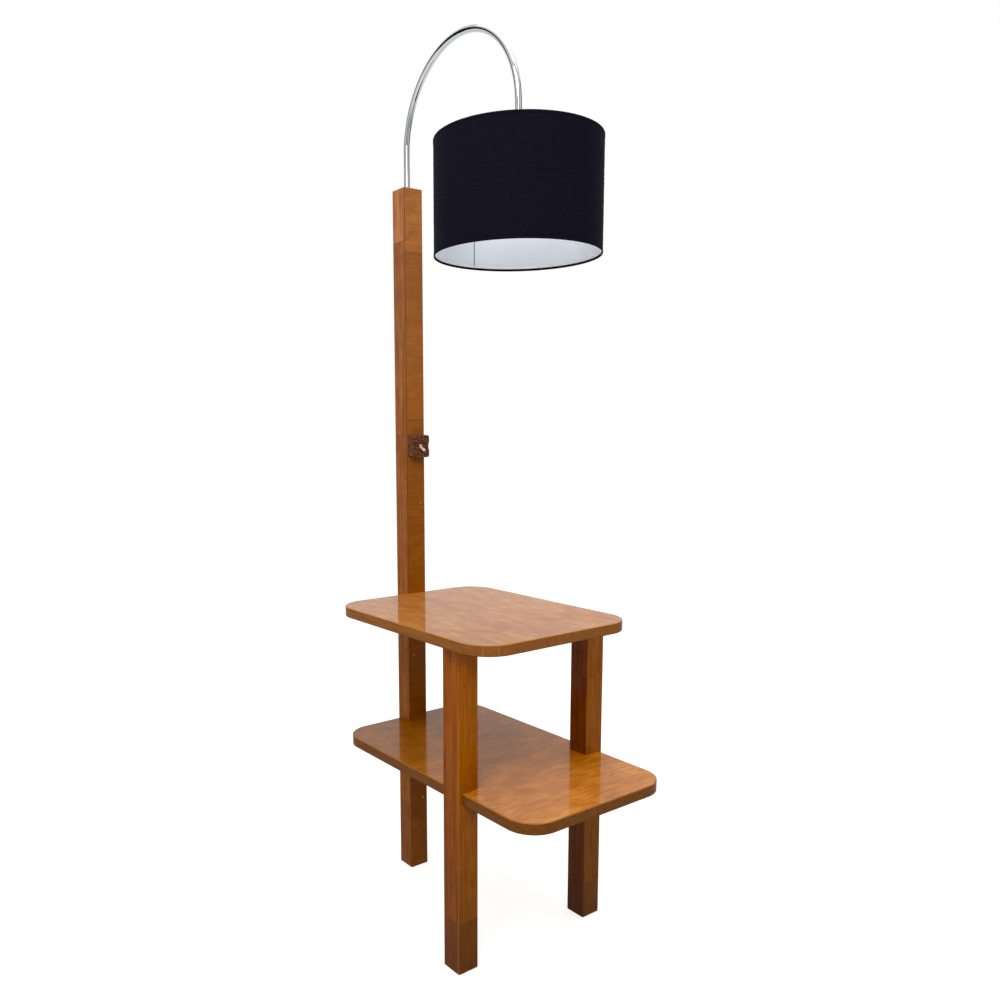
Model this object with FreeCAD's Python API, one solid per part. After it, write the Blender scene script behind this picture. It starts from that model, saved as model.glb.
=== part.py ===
"""Floor lamp with a small table built round its post.

Three square posts carry a top and a longer shelf below it. The tallest post holds a bent tube
that arches over the table and carries a drum shade. Units are millimetres, +Z is up, +X runs
from the tall post under the arch, and the origin is the middle of the tall post's foot.
"""
import FreeCAD, Part
import math
import os

V = FreeCAD.Vector
X, Y, Z = V(1, 0, 0), V(0, 1, 0), V(0, 0, 1)

# ---- clearances ----------------------------------------------------------------------------
glue_gap = 0.05          # round a dowel, pin or screw in its hole
turning_gap = 0.05       # radial play of a shaft that turns
moving_gap = 0.3         # least distance between pieces that move past each other

# ---- posts and legs ------------------------------------------------------------------------
post_section = 42.0
post_height = 1380.0
arris_radius = 2.0
foot_radius = 1.5
head_radius = 1.0
leg_reach = 354.0        # tall post's axis to the legs' axes, along the table
leg_spread = 149.0       # centre line of the table to each leg's axis

# ---- wiring channel in the tall post -------------------------------------------------------
cover_thickness = 4.0
channel_width = 14.0
channel_depth = 24.0
channel_foot = 40.0
cover_pin_radius = 0.8
cover_pin_head_radius = 1.6
cover_pin_head = 0.6
cover_pin_length = 18.0
cover_pin_first = 150.0
cover_pin_pitch = 312.7
cover_pin_count = 4
cover_pin_inset = 3.0    # pin's axis to the channel's side

# ---- upper top -----------------------------------------------------------------------------
table_height = 592.0
top_thickness = 18.0
top_front_overhang = 92.0    # past the legs' faces, at the end away from the post
top_left_overhang = 24.0     # past the front leg's outer face
top_right_setback = 19.0     # the right leg stands this far out of the top's edge
top_corner_radius = 57.0

# ---- lower shelf ---------------------------------------------------------------------------
shelf_height = 323.0
shelf_thickness = 19.0
shelf_front_overhang = 165.0
post_proud = 9.0             # the tall post stands out of the shelf's back edge
leg_proud = 8.0              # both short legs stand out of the shelf's side edges
shelf_corner_radius = 52.0

# ---- edge bands and dowels -----------------------------------------------------------------
band_thickness = 1.5
band_arris = 0.8
dowel_radius = 4.0
dowel_pitch = 22.0
dowel_in_post = 12.0
dowel_in_leg = 25.0
dowel_in_top_face = 12.0
dowel_in_edge = 22.0

# ---- tube and its socket -------------------------------------------------------------------
tube_radius = 6.0
tube_wall = 1.0
arch_radius = 161.0
arch_spring = 67.0       # post's head to the start of the arch
tube_drop = 72.0         # start of the arch to the tube's lower end over the table
socket_length = 80.0
socket_wall = 2.0
socket_lip = 3.0
nipple_wall = 1.5
nipple_in_tube = 8.0
nipple_in_cap = 12.0

# ---- leads inside the post and the tube ----------------------------------------------------
lead_radius = 2.75
lead_entry_height = 60.0
lead_bend = 17.0
lead_shift_bend = 60.0
wire_radius = 1.1
wire_bend = 8.0
wire_tail = 40.0
bush_flange_radius = 8.0
bush_flange = 2.0
bush_wall = 2.0
bush_bore_radius = 3.0
bush_length = 12.0

# ---- lamp holder ---------------------------------------------------------------------------
holder_radius = 19.0
holder_wall = 2.0
cap_height = 28.0
cap_neck_radius = 8.0
cap_neck_height = 5.0
cap_overlap = 6.0
holder_length = 39.0         # from the cap's rim to the mouth
holder_shoulder_drop = 18.0
holder_shoulder_radius = 23.0
holder_shoulder = 3.0
insert_thickness = 12.0
insert_seat_drop = 10.0      # the cap's rim to the insert's seat
contact_radius = 3.0
contact_thickness = 0.8
screw_shell_radius = 14.1
screw_shell_wall = 0.8
screw_shell_length = 27.0
shade_ring_radius = 28.5
shade_ring_flange = 2.5
shade_ring_height = 7.0
shade_ring_collar = 3.5

# ---- bulb ----------------------------------------------------------------------------------
bulb_radius = 27.5
bulb_glass_length = 71.0
bulb_neck_radius = 12.6
bulb_glass_wall = 0.8
bulb_shoulder_angle = 40.0
bulb_cap_length = 25.0
bulb_cap_wall = 0.5
bulb_tip_radius = 4.5
bulb_tip_height = 1.6

# ---- shade ---------------------------------------------------------------------------------
shade_radius = 140.0
shade_height = 184.0
shade_rise = 15.5            # the shade's rim above the tube's lower end
fabric_thickness = 0.6
lining_thickness = 0.5
trim_thickness = 0.5
trim_height = 8.0
trim_lip = 3.0
ring_wire_radius = 1.5
spider_washer_radius = 31.0
spider_washer = 1.5
spider_arm_count = 3
spider_first_angle = 30.0

# ---- switch --------------------------------------------------------------------------------
switch_height = 889.0
switch_width = 38.0
switch_length = 44.0
switch_corner_radius = 5.0
switch_base = 5.0
switch_depth = 21.0
switch_wall = 1.8
switch_edge_radius = 2.5
switch_groove_depth = 4.0
switch_groove_front = 15.0
switch_groove_floor = 12.0
switch_slot_width = 6.8
switch_pocket = 2.0
toggle_pivot_depth = 12.0
toggle_hub_radius = 5.5
toggle_hub_width = 6.0
toggle_lever_length = 18.0
toggle_lever_root = 2.3
toggle_lever_tip = 2.8
toggle_rest_angle = 25.0
toggle_pin_radius = 1.2
ear_thickness = 3.0
ear_radius = 2.8
bridge_reach = 1.6
bridge_width = 5.0
bridge_height = 2.4
terminal_width = 6.0
terminal_depth = 6.0
terminal_side = 4.9          # centre line to a terminal's middle
terminal_blade = 2.0
terminal_screw_radius = 1.3
terminal_screw_bite = 2.0
terminal_screw_length = 3.0
fixing_screw_radius = 1.7
fixing_screw_head = 3.2
fixing_screw_length = 16.0
fixing_screw_side = 12.0
fixing_screw_rise = 14.0
cover_screw_radius = 1.5
cover_screw_head = 2.8
cover_screw_head_height = 1.6
cover_screw_rise = 16.0
cover_boss_radius = 3.0

# ---- what follows from the sizes above -------------------------------------------------------
half = post_section / 2
post_face = half                                 # the tall post's face towards the table
cover_back = post_face - cover_thickness
channel_back = cover_back - channel_depth
lead_x = cover_back - lead_radius - 5.0
leg_height = table_height - top_thickness
top_x0, top_x1 = post_face, leg_reach + half + top_front_overhang
top_y0 = -leg_spread - half - top_left_overhang
top_y1 = leg_spread + half - top_right_setback
shelf_x0, shelf_x1 = -half + post_proud, leg_reach + half + shelf_front_overhang
shelf_side = leg_spread + half - leg_proud
spring_z = post_height + arch_spring
tube_end_x, tube_end_z = 2 * arch_radius, spring_z - tube_drop
socket_bore = tube_radius + turning_gap
socket_radius = socket_bore + socket_wall
socket_foot_z = post_height - socket_length
tube_foot_z = socket_foot_z + socket_lip
cap_rim_z = tube_end_z - cap_height
mouth_z = cap_rim_z - holder_length
seat_z = cap_rim_z - insert_seat_drop
shoulder_z = cap_rim_z - holder_shoulder_drop - holder_shoulder
shade_top_z = tube_end_z + shade_rise
shade_bottom_z = shade_top_z - shade_height
lining_radius = shade_radius - fabric_thickness
shade_inner_radius = lining_radius - lining_thickness
ring_radius = shade_inner_radius - ring_wire_radius - glue_gap
ring_inset = trim_thickness + trim_lip + ring_wire_radius
pivot_x = post_face + toggle_pivot_depth
terminal_top_z = switch_height - toggle_hub_radius - moving_gap
terminal_foot_z = switch_height - cover_screw_rise + cover_boss_radius + moving_gap
terminal_z = (terminal_top_z + terminal_foot_z) / 2


def box(x0, x1, y0, y1, z0, z1):
    """Return the block between two corners."""
    return Part.makeBox(x1 - x0, y1 - y0, z1 - z0, V(x0, y0, z0))


def rod(start, direction, length, radius):
    """Return a round bar that starts at a point and runs along a direction."""
    return Part.makeCylinder(radius, length, start, direction)


def hollow(outer_radius, inner_radius, x, y, z0, z1):
    """Return an upright tube."""
    outer = rod(V(x, y, z0), Z, z1 - z0, outer_radius)
    return outer.cut(rod(V(x, y, z0), Z, z1 - z0, inner_radius))


def turned(profile, x):
    """Return the solid that a closed wire in the XZ plane sweeps about an upright axis at x."""
    face = Part.Face(profile)
    return face.revolve(V(x, 0, 0), Z, 360)


def ring_profile(points, x):
    """Return a closed polygon of (radius, z) points, drawn beside an upright axis at x."""
    corners = [V(x + r, 0, z) for r, z in points]
    return Part.makePolygon(corners + corners[:1])


def rounded_plate(x0, x1, y0, y1, z0, z1, radius, edge_radius=0.0):
    """Return a plate with round corners and, where asked, softened top and bottom edges."""
    plate = box(x0, x1, y0, y1, z0, z1)
    uprights = [e for e in plate.Edges if abs(e.tangentAt(e.FirstParameter).z) > 0.5]
    plate = plate.makeFillet(radius, uprights)
    if edge_radius:
        rim = [e for e in plate.Edges if abs(e.BoundBox.ZLength) < 1e-6]
        plate = plate.makeFillet(edge_radius, rim)
    return plate


def square_post(x, y, height):
    """Return a square post with eased arrises and a rounder foot."""
    post = box(x - half, x + half, y - half, y + half, 0, height)
    uprights = [e for e in post.Edges if abs(e.tangentAt(e.FirstParameter).z) > 0.5]
    post = post.makeFillet(arris_radius, uprights)
    foot = [e for e in post.Edges if e.BoundBox.ZMax < 1e-6]
    post = post.makeFillet(min(foot_radius, arris_radius * 0.95), foot)
    head = [e for e in post.Edges if e.BoundBox.ZMin > height - 1e-6]
    return post.makeFillet(min(head_radius, arris_radius * 0.95), head)


def post_dowels(height, outward, face, centre, pitch_along):
    """Return two dowels that lie level across a joint face.

    height is their level, outward points from the post into the board, face is a point on the
    joint face's middle, and pitch_along is the direction in which the two are set apart.
    """
    dowels = []
    for side in (-1, 1):
        middle = V(centre.x, centre.y, height) + pitch_along * (side * dowel_pitch / 2)
        start = middle + outward * (face - dowel_in_post)
        dowels.append(rod(start, outward, dowel_in_post + dowel_in_edge, dowel_radius))
    return dowels


def widened(dowels):
    """Return the holes for round bars, a glue gap wider all round."""
    holes = []
    for dowel in dowels:
        axis_face = [f for f in dowel.Faces if f.Surface.TypeId == "Part::GeomCylinder"][0]
        ends = [f.CenterOfMass for f in dowel.Faces if f.Surface.TypeId == "Part::GeomPlane"]
        along = ends[1] - ends[0]
        holes.append(rod(ends[0], along, along.Length, axis_face.Surface.Radius + glue_gap))
    return holes


# ---- joints between wood parts ---------------------------------------------------------------
def make_dowels():
    """Return the dowels of the top, the legs and the shelf as three lists."""
    origin = V(0, 0, 0)
    front, right = V(leg_reach, -leg_spread, 0), V(leg_reach, leg_spread, 0)
    top_level = table_height - top_thickness / 2
    shelf_level = shelf_height - shelf_thickness / 2
    top = post_dowels(top_level, X, post_face, origin, Y)
    shelf = post_dowels(shelf_level, X, post_face, origin, Y)
    shelf += post_dowels(shelf_level, Y, half, front, X)
    shelf += post_dowels(shelf_level, V(0, -1, 0), half, right, X)
    legs = []
    for y in (-leg_spread, leg_spread):
        low, high = max(y - half, top_y0), min(y + half, top_y1)
        for side in (-1, 1):
            start = V(leg_reach + side * dowel_pitch / 2, (low + high) / 2, leg_height - dowel_in_leg)
            legs.append(rod(start, Z, dowel_in_leg + dowel_in_top_face, dowel_radius))
    return top, legs, shelf


# ---- table -----------------------------------------------------------------------------------
def make_tall_post(holes):
    """Return the tall post's grooved body and the strip that closes its wiring channel."""
    whole = square_post(0, 0, post_height)
    strip = whole.common(box(cover_back, post_face, -half, half, 0, post_height))
    body = whole.common(box(-half, cover_back, -half, half, 0, post_height))
    side = channel_width / 2
    body = body.cut(box(channel_back, cover_back, -side, side, channel_foot, socket_foot_z))
    body = body.cut(rod(V(0, 0, socket_foot_z), Z, socket_length, socket_radius + glue_gap))
    bush_radius = bush_bore_radius + bush_wall + glue_gap
    body = body.cut(rod(V(-half, 0, lead_entry_height), X, half + channel_back + 1, bush_radius))
    for hole in holes:
        body, strip = body.cut(hole), strip.cut(hole)
    for y in (-terminal_side, terminal_side):
        strip = strip.cut(wire_hole(y, cover_back))
    return body, strip


def make_cover_pins():
    """Return the small pins that hold the channel's strip, on alternate sides."""
    pins = []
    offset = channel_width / 2 + cover_pin_inset
    for i in range(cover_pin_count):
        y = offset if i % 2 == 0 else -offset
        z = cover_pin_first + i * cover_pin_pitch
        shank_start = V(post_face - cover_pin_length, y, z)
        head_start = V(post_face - cover_pin_head, y, z)
        shank = rod(shank_start, X, cover_pin_length, cover_pin_radius)
        pins.append(shank.fuse(rod(head_start, X, cover_pin_head, cover_pin_head_radius)).removeSplitter())
    return pins


def pin_holes():
    """Return the holes of the channel strip's pins."""
    holes = []
    for pin in make_cover_pins():
        c = pin.BoundBox.Center
        holes.append(rod(V(post_face - cover_pin_length, c.y, c.z), X, cover_pin_length,
                         cover_pin_radius + glue_gap))
        holes.append(rod(V(post_face - cover_pin_head, c.y, c.z), X, cover_pin_head + 1,
                         cover_pin_head_radius + glue_gap))
    return holes


def make_top(holes):
    """Return the top's core and the band round its edge."""
    z0, z1 = leg_height, table_height
    b = band_thickness
    outer = rounded_plate(top_x0, top_x1, top_y0, top_y1, z0, z1, top_corner_radius, band_arris)
    core = rounded_plate(top_x0 + b, top_x1 - b, top_y0 + b, top_y1 - b, z0, z1, top_corner_radius - b)
    band = outer.cut(core)
    for hole in holes:
        core, band = core.cut(hole), band.cut(hole)
    return core, band


def make_shelf(holes):
    """Return the shelf's core and its edge band, both notched round the three posts."""
    z0, z1 = shelf_height - shelf_thickness, shelf_height
    b = band_thickness
    outer = rounded_plate(shelf_x0, shelf_x1, -shelf_side, shelf_side, z0, z1, shelf_corner_radius,
                          band_arris)
    core = rounded_plate(shelf_x0 + b, shelf_x1 - b, b - shelf_side, shelf_side - b, z0, z1,
                         shelf_corner_radius - b)
    band = outer.cut(core)
    for x, y in ((0, 0), (leg_reach, -leg_spread), (leg_reach, leg_spread)):
        notch = box(x - half, x + half, y - half, y + half, z0, z1)
        core, band = core.cut(notch), band.cut(notch)
    for hole in holes:
        core = core.cut(hole)
    return core, band


def make_leg(y, holes):
    """Return one short leg with the holes of its dowels."""
    leg = square_post(leg_reach, y, leg_height)
    for hole in holes:
        leg = leg.cut(hole)
    return leg


# ---- tube, socket and leads ------------------------------------------------------------------
def arch_path(start_z, end_z):
    """Return the tube's centre line from one level in the post to one over the table."""
    foot, spring = V(0, 0, start_z), V(0, 0, spring_z)
    crown = V(arch_radius, 0, spring_z + arch_radius)
    far, end = V(tube_end_x, 0, spring_z), V(tube_end_x, 0, end_z)
    edges = [Part.LineSegment(foot, spring).toShape(),
             Part.Arc(spring, crown, far).toShape(),
             Part.LineSegment(far, end).toShape()]
    return Part.Wire(edges)


def swept(path, start, direction, radius):
    """Return a round bar that follows a path."""
    circle = Part.Wire([Part.makeCircle(radius, start, direction)])
    return path.makePipeShell([circle], True, False)


def make_tube():
    """Return the bent tube, open at both ends."""
    path = arch_path(tube_foot_z, tube_end_z)
    foot = V(0, 0, tube_foot_z)
    outer = swept(path, foot, Z, tube_radius)
    inner = swept(path, foot, Z, tube_radius - tube_wall)
    return outer.cut(inner)


def make_socket():
    """Return the sleeve in the post's head, with a lip under the tube."""
    sleeve = hollow(socket_radius, socket_bore, 0, 0, socket_foot_z, post_height)
    lip = hollow(socket_radius, tube_radius - tube_wall, 0, 0, socket_foot_z, tube_foot_z)
    return sleeve.fuse(lip).removeSplitter()


def make_nipple():
    """Return the threaded nipple between the tube and the lamp holder's cap."""
    radius = tube_radius - tube_wall - glue_gap
    return hollow(radius, radius - nipple_wall, tube_end_x, 0,
                  tube_end_z - nipple_in_cap, tube_end_z + nipple_in_tube)


def make_arm_lead():
    """Return the lead inside the tube, down to the lamp holder's insert."""
    start_z, end_z = tube_foot_z + moving_gap, seat_z + insert_thickness
    return swept(arch_path(start_z, end_z), V(0, 0, start_z), Z, lead_radius)


def make_post_lead():
    """Return the lead in the post, from the bush at the back up to the tube's foot."""
    start = V(-half + bush_length + moving_gap, 0, lead_entry_height)
    bend_start = V(lead_x - lead_bend, 0, lead_entry_height)
    bend_middle = V(lead_x - lead_bend * (1 - math.sin(math.pi / 4)), 0,
                    lead_entry_height + lead_bend * (1 - math.cos(math.pi / 4)))
    bend_end = V(lead_x, 0, lead_entry_height + lead_bend)
    turn = math.acos(1 - lead_x / (2 * lead_shift_bend))
    rise = lead_shift_bend * math.sin(turn)
    shift_end_z = socket_foot_z - lead_shift_bend / 2
    shift_mid = V(lead_x / 2, 0, shift_end_z - rise)
    shift_start = V(lead_x, 0, shift_end_z - 2 * rise)
    shift_end = V(0, 0, shift_end_z)
    bow = lead_shift_bend * (1 - math.cos(turn / 2))
    lift = lead_shift_bend * math.sin(turn / 2)
    low_arc = V(lead_x - bow, 0, shift_start.z + lift)
    high_arc = V(bow, 0, shift_end.z - lift)
    edges = [Part.LineSegment(start, bend_start).toShape(),
             Part.Arc(bend_start, bend_middle, bend_end).toShape(),
             Part.LineSegment(bend_end, shift_start).toShape(),
             Part.Arc(shift_start, low_arc, shift_mid).toShape(),
             Part.Arc(shift_mid, high_arc, shift_end).toShape(),
             Part.LineSegment(shift_end, V(0, 0, tube_foot_z)).toShape()]
    return swept(Part.Wire(edges), start, X, lead_radius)


def make_bush():
    """Return the bush that guides the mains cord into the foot of the tall post."""
    mouth = V(-half, 0, lead_entry_height)
    shank = rod(mouth, X, bush_length, bush_bore_radius + bush_wall)
    flange = rod(mouth - X * bush_flange, X, bush_flange, bush_flange_radius)
    rim = [e for e in flange.Edges if e.BoundBox.XMax < -half - bush_flange + 1e-6]
    flange = flange.makeFillet(bush_flange * 0.45, rim)
    bore = rod(mouth - X * bush_flange, X, bush_flange + bush_length, bush_bore_radius)
    return shank.fuse(flange).removeSplitter().cut(bore)


# ---- lamp holder and bulb --------------------------------------------------------------------
def make_holder_cap():
    """Return the domed cap of the lamp holder."""
    x, wall = tube_end_x, holder_wall
    bore = tube_radius - tube_wall
    neck_z = tube_end_z - cap_neck_height
    dome_z = neck_z - (holder_radius - cap_neck_radius)
    outer = ring_profile([(0, tube_end_z), (cap_neck_radius, tube_end_z), (cap_neck_radius, neck_z),
                          (holder_radius, dome_z), (holder_radius, cap_rim_z), (0, cap_rim_z)], x)
    inner = ring_profile([(0, neck_z - wall), (cap_neck_radius - wall / 2, neck_z - wall),
                          (holder_radius - wall, dome_z - wall / 2), (holder_radius - wall, cap_rim_z),
                          (0, cap_rim_z)], x)
    cap = turned(outer, x)
    shoulder = [e for e in cap.Edges if abs(e.BoundBox.ZMin - dome_z) < 1e-6
                and abs(e.BoundBox.ZMax - dome_z) < 1e-6]
    cap = cap.makeFillet(wall * 2, shoulder)
    return cap.cut(turned(inner, x)).cut(rod(V(x, 0, neck_z - wall), Z, cap_height, bore))


def make_holder_body():
    """Return the holder's shell, with the shoulder that the shade hangs against."""
    top_z = cap_rim_z + cap_overlap
    spigot = holder_radius - holder_wall - glue_gap
    shell = rod(V(tube_end_x, 0, mouth_z), Z, holder_length, holder_radius)
    shell = shell.fuse(rod(V(tube_end_x, 0, cap_rim_z), Z, cap_overlap, spigot))
    shell = shell.fuse(rod(V(tube_end_x, 0, shoulder_z), Z, holder_shoulder, holder_shoulder_radius))
    shell = shell.removeSplitter()
    bore = screw_shell_radius + glue_gap
    counterbore = spigot - holder_wall
    shell = shell.cut(rod(V(tube_end_x, 0, mouth_z), Z, top_z - mouth_z, bore))
    return shell.cut(rod(V(tube_end_x, 0, seat_z), Z, top_z - seat_z, counterbore))


def make_insert():
    """Return the porcelain disc that carries the holder's contacts."""
    radius = holder_radius - 2 * holder_wall - 2 * glue_gap
    disc = rod(V(tube_end_x, 0, seat_z), Z, insert_thickness, radius)
    top_edge = [e for e in disc.Edges if e.BoundBox.ZMin > seat_z + insert_thickness - 1e-6]
    return disc.makeFillet(1.0, top_edge)


def make_screw_shell():
    """Return the metal screw shell that takes the bulb's cap."""
    return hollow(screw_shell_radius, screw_shell_radius - screw_shell_wall, tube_end_x, 0,
                  seat_z - screw_shell_length, seat_z)


def make_centre_contact():
    """Return the small contact disc under the insert."""
    return rod(V(tube_end_x, 0, seat_z - contact_thickness), Z, contact_thickness, contact_radius)


def make_shade_ring():
    """Return the ring that clamps the shade's washer to the holder's shoulder."""
    bore = holder_radius + glue_gap
    top_z = shoulder_z - spider_washer
    flange = hollow(shade_ring_radius, bore, tube_end_x, 0, top_z - shade_ring_flange, top_z)
    collar = hollow(bore + shade_ring_collar, bore, tube_end_x, 0, top_z - shade_ring_height, top_z)
    return flange.fuse(collar).removeSplitter()


def bulb_profile(inset, top_z, bottom_z):
    """Return half the glass's outline, moved in by the wall where asked."""
    x = tube_end_x
    radius, neck = bulb_radius - inset, bulb_neck_radius - inset
    centre_z = bottom_z + bulb_radius
    a = math.radians(bulb_shoulder_angle)
    shoulder = V(x + radius * math.cos(a), 0, centre_z + radius * math.sin(a))
    fall = (shoulder.x - x - neck) / math.sin(a) * math.cos(a)
    throat = V(x + neck, 0, shoulder.z + fall)
    pole, top = V(x, 0, centre_z - radius), V(x + neck, 0, top_z)
    edges = [Part.Arc(pole, V(x + radius, 0, centre_z), shoulder).toShape(),
             Part.LineSegment(shoulder, throat).toShape(),
             Part.LineSegment(throat, top).toShape(),
             Part.LineSegment(top, V(x, 0, top_z)).toShape(),
             Part.LineSegment(V(x, 0, top_z), pole).toShape()]
    return Part.Wire(edges)


def make_bulb():
    """Return the bulb's glass and its metal cap."""
    cap_radius = screw_shell_radius - screw_shell_wall - moving_gap
    cap_top = seat_z - contact_thickness - moving_gap - bulb_tip_height
    cap_foot = cap_top - bulb_cap_length
    glass_top = cap_foot + bulb_cap_length / 3
    bottom = cap_foot - bulb_glass_length
    glass = turned(bulb_profile(0, glass_top, bottom), tube_end_x)
    glass = glass.cut(turned(bulb_profile(bulb_glass_wall, glass_top, bottom), tube_end_x))
    cap = rod(V(tube_end_x, 0, cap_foot), Z, bulb_cap_length, cap_radius)
    cap = cap.fuse(rod(V(tube_end_x, 0, cap_top), Z, bulb_tip_height, bulb_tip_radius)).removeSplitter()
    room = rod(V(tube_end_x, 0, cap_foot), Z, bulb_cap_length - 2 * bulb_cap_wall, bulb_neck_radius)
    return glass, cap.cut(room)


# ---- shade -----------------------------------------------------------------------------------
def make_shade_wall():
    """Return the shade's outer fabric and its stiff lining."""
    z0, z1 = shade_bottom_z + trim_thickness, shade_top_z - trim_thickness
    fabric = hollow(shade_radius, lining_radius, tube_end_x, 0, z0, z1)
    lining = hollow(lining_radius, shade_inner_radius, tube_end_x, 0, z0, z1)
    return fabric, lining


def make_trim(rim_z, inward):
    """Return the tape folded over one rim; inward is -1 at the upper rim and 1 at the lower."""
    t = trim_thickness
    outer, inner = shade_radius + t, shade_inner_radius - t
    points = [(outer, rim_z), (inner, rim_z), (inner, rim_z + inward * (t + trim_lip)),
              (shade_inner_radius, rim_z + inward * (t + trim_lip)),
              (shade_inner_radius, rim_z + inward * t), (shade_radius, rim_z + inward * t),
              (shade_radius, rim_z + inward * trim_height), (outer, rim_z + inward * trim_height)]
    return turned(ring_profile(points, tube_end_x), tube_end_x)


def make_spider():
    """Return the shade's carrier: rim wire, sloping arms and the washer in the middle."""
    centre = V(tube_end_x, 0, 0)
    rim_z = shade_top_z - ring_inset
    washer_z = shoulder_z - spider_washer
    carrier = hollow(spider_washer_radius, holder_radius + glue_gap, tube_end_x, 0, washer_z, shoulder_z)
    carrier = carrier.fuse(Part.makeTorus(ring_radius, ring_wire_radius, centre + Z * rim_z, Z))
    for i in range(spider_arm_count):
        angle = math.radians(spider_first_angle + 360.0 * i / spider_arm_count)
        out = V(math.cos(angle), math.sin(angle), 0)
        foot = centre + out * (spider_washer_radius - ring_wire_radius) + Z * (washer_z + spider_washer / 2)
        head = centre + out * ring_radius + Z * rim_z
        carrier = carrier.fuse(rod(foot, head - foot, (head - foot).Length, ring_wire_radius))
    return carrier.removeSplitter()


def make_bottom_ring():
    """Return the wire in the shade's lower rim."""
    return Part.makeTorus(ring_radius, ring_wire_radius, V(tube_end_x, 0, shade_bottom_z + ring_inset), Z)


# ---- switch ----------------------------------------------------------------------------------
def wire_hole(y, start_x):
    """Return the hole through which one wire reaches the switch, from start_x outwards."""
    length = post_face + switch_base - start_x
    return rod(V(start_x, y, terminal_z), X, length, wire_radius + glue_gap)


def switch_block(x0, x1, inset):
    """Return a block with the switch's rounded outline, moved in by an inset."""
    w, h = switch_width / 2 - inset, switch_length / 2 - inset
    block = box(x0, x1, -w, w, switch_height - h, switch_height + h)
    corners = [e for e in block.Edges if abs(e.tangentAt(e.FirstParameter).x) > 0.5]
    return block.makeFillet(switch_corner_radius - inset, corners)


def fixing_places():
    """Return the (y, z) places of the screws that hold the switch to the post."""
    z = switch_height + fixing_screw_rise
    return [(-fixing_screw_side, z), (fixing_screw_side, z)]


def cover_screw_levels():
    """Return the heights of the two screws in the switch's cover."""
    return [switch_height - cover_screw_rise, switch_height + cover_screw_rise]


def make_switch_base():
    """Return the switch's base with the two ears that carry the toggle's pin."""
    front = post_face + switch_base
    base = switch_block(post_face, front, 0)
    near = toggle_hub_width / 2 + moving_gap
    for y in (near, -near - ear_thickness):
        ear = box(front - 1, pivot_x, y, y + ear_thickness, switch_height - ear_radius,
                  switch_height + ear_radius)
        cheek = rod(V(pivot_x, y, switch_height), Y, ear_thickness, ear_radius)
        base = base.fuse(ear).fuse(cheek)
    base = base.removeSplitter()
    reach = toggle_hub_radius + bridge_reach + moving_gap
    base = base.cut(box(front - switch_pocket, front, -near, near, switch_height - reach,
                        switch_height + reach))
    base = base.cut(rod(V(pivot_x, -switch_width / 2, switch_height), Y, switch_width,
                        toggle_pin_radius + glue_gap))
    for y in (-terminal_side, terminal_side):
        base = base.cut(wire_hole(y, post_face))
    for y, z in fixing_places():
        base = base.cut(rod(V(post_face, y, z), X, switch_base, fixing_screw_radius + glue_gap))
    for z in cover_screw_levels():
        base = base.cut(rod(V(post_face, 0, z), X, switch_base, cover_screw_radius + glue_gap))
    return base


def groove_wedge(front, floor):
    """Return the wedge that parts the cover's two lobes."""
    a, b = switch_groove_front / 2, switch_groove_floor / 2
    side = switch_width / 2 + 1
    corners = [V(front, -side, switch_height - a), V(front, -side, switch_height + a),
               V(floor, -side, switch_height + b), V(floor, -side, switch_height - b)]
    return Part.Face(Part.makePolygon(corners + corners[:1])).extrude(Y * (2 * side))


def make_switch_cover():
    """Return the switch's cover: two rounded lobes with the toggle's groove between them."""
    back, front = post_face + switch_base, post_face + switch_depth
    floor = front - switch_groove_depth
    cover = switch_block(back, front, 0).cut(groove_wedge(front, floor))
    lobes = [e for e in cover.Edges if e.BoundBox.XMin > front - 1e-6]
    cover = cover.makeFillet(switch_edge_radius, lobes)
    roof = floor - switch_wall
    cover = cover.cut(switch_block(back, roof, switch_wall))
    for z in cover_screw_levels():
        cover = cover.fuse(rod(V(back, 0, z), X, front - back - switch_wall, cover_boss_radius))
    cover = cover.removeSplitter()
    slot, tall = switch_slot_width / 2, switch_groove_floor / 2
    cover = cover.cut(box(back, front, -slot, slot, switch_height - tall, switch_height + tall))
    for z in cover_screw_levels():
        cover = cover.cut(rod(V(back, 0, z), X, front - back, cover_screw_radius + glue_gap))
        cover = cover.cut(rod(V(front - cover_screw_head_height, 0, z), X, cover_screw_head_height,
                              cover_screw_head + glue_gap))
    return cover


def make_cover_screws():
    """Return the two screws in the cover, their heads flush with the lobes."""
    front = post_face + switch_depth
    screws = []
    for z in cover_screw_levels():
        shank = rod(V(post_face, 0, z), X, switch_depth - cover_screw_head_height, cover_screw_radius)
        head = rod(V(front - cover_screw_head_height, 0, z), X, cover_screw_head_height, cover_screw_head)
        screws.append(shank.fuse(head).removeSplitter())
    return screws


def make_fixing_screws():
    """Return the two wood screws through the switch's base into the post."""
    front = post_face + switch_base
    screws = []
    for y, z in fixing_places():
        shank = rod(V(front - fixing_screw_length, y, z), X, fixing_screw_length, fixing_screw_radius)
        head = rod(V(front, y, z), X, fixing_screw_radius, fixing_screw_head)
        rim = [e for e in head.Edges if e.BoundBox.XMin > front + fixing_screw_radius - 1e-6]
        head = head.makeFillet(fixing_screw_radius * 0.6, rim)
        screws.append(shank.fuse(head).removeSplitter())
    return screws


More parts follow.
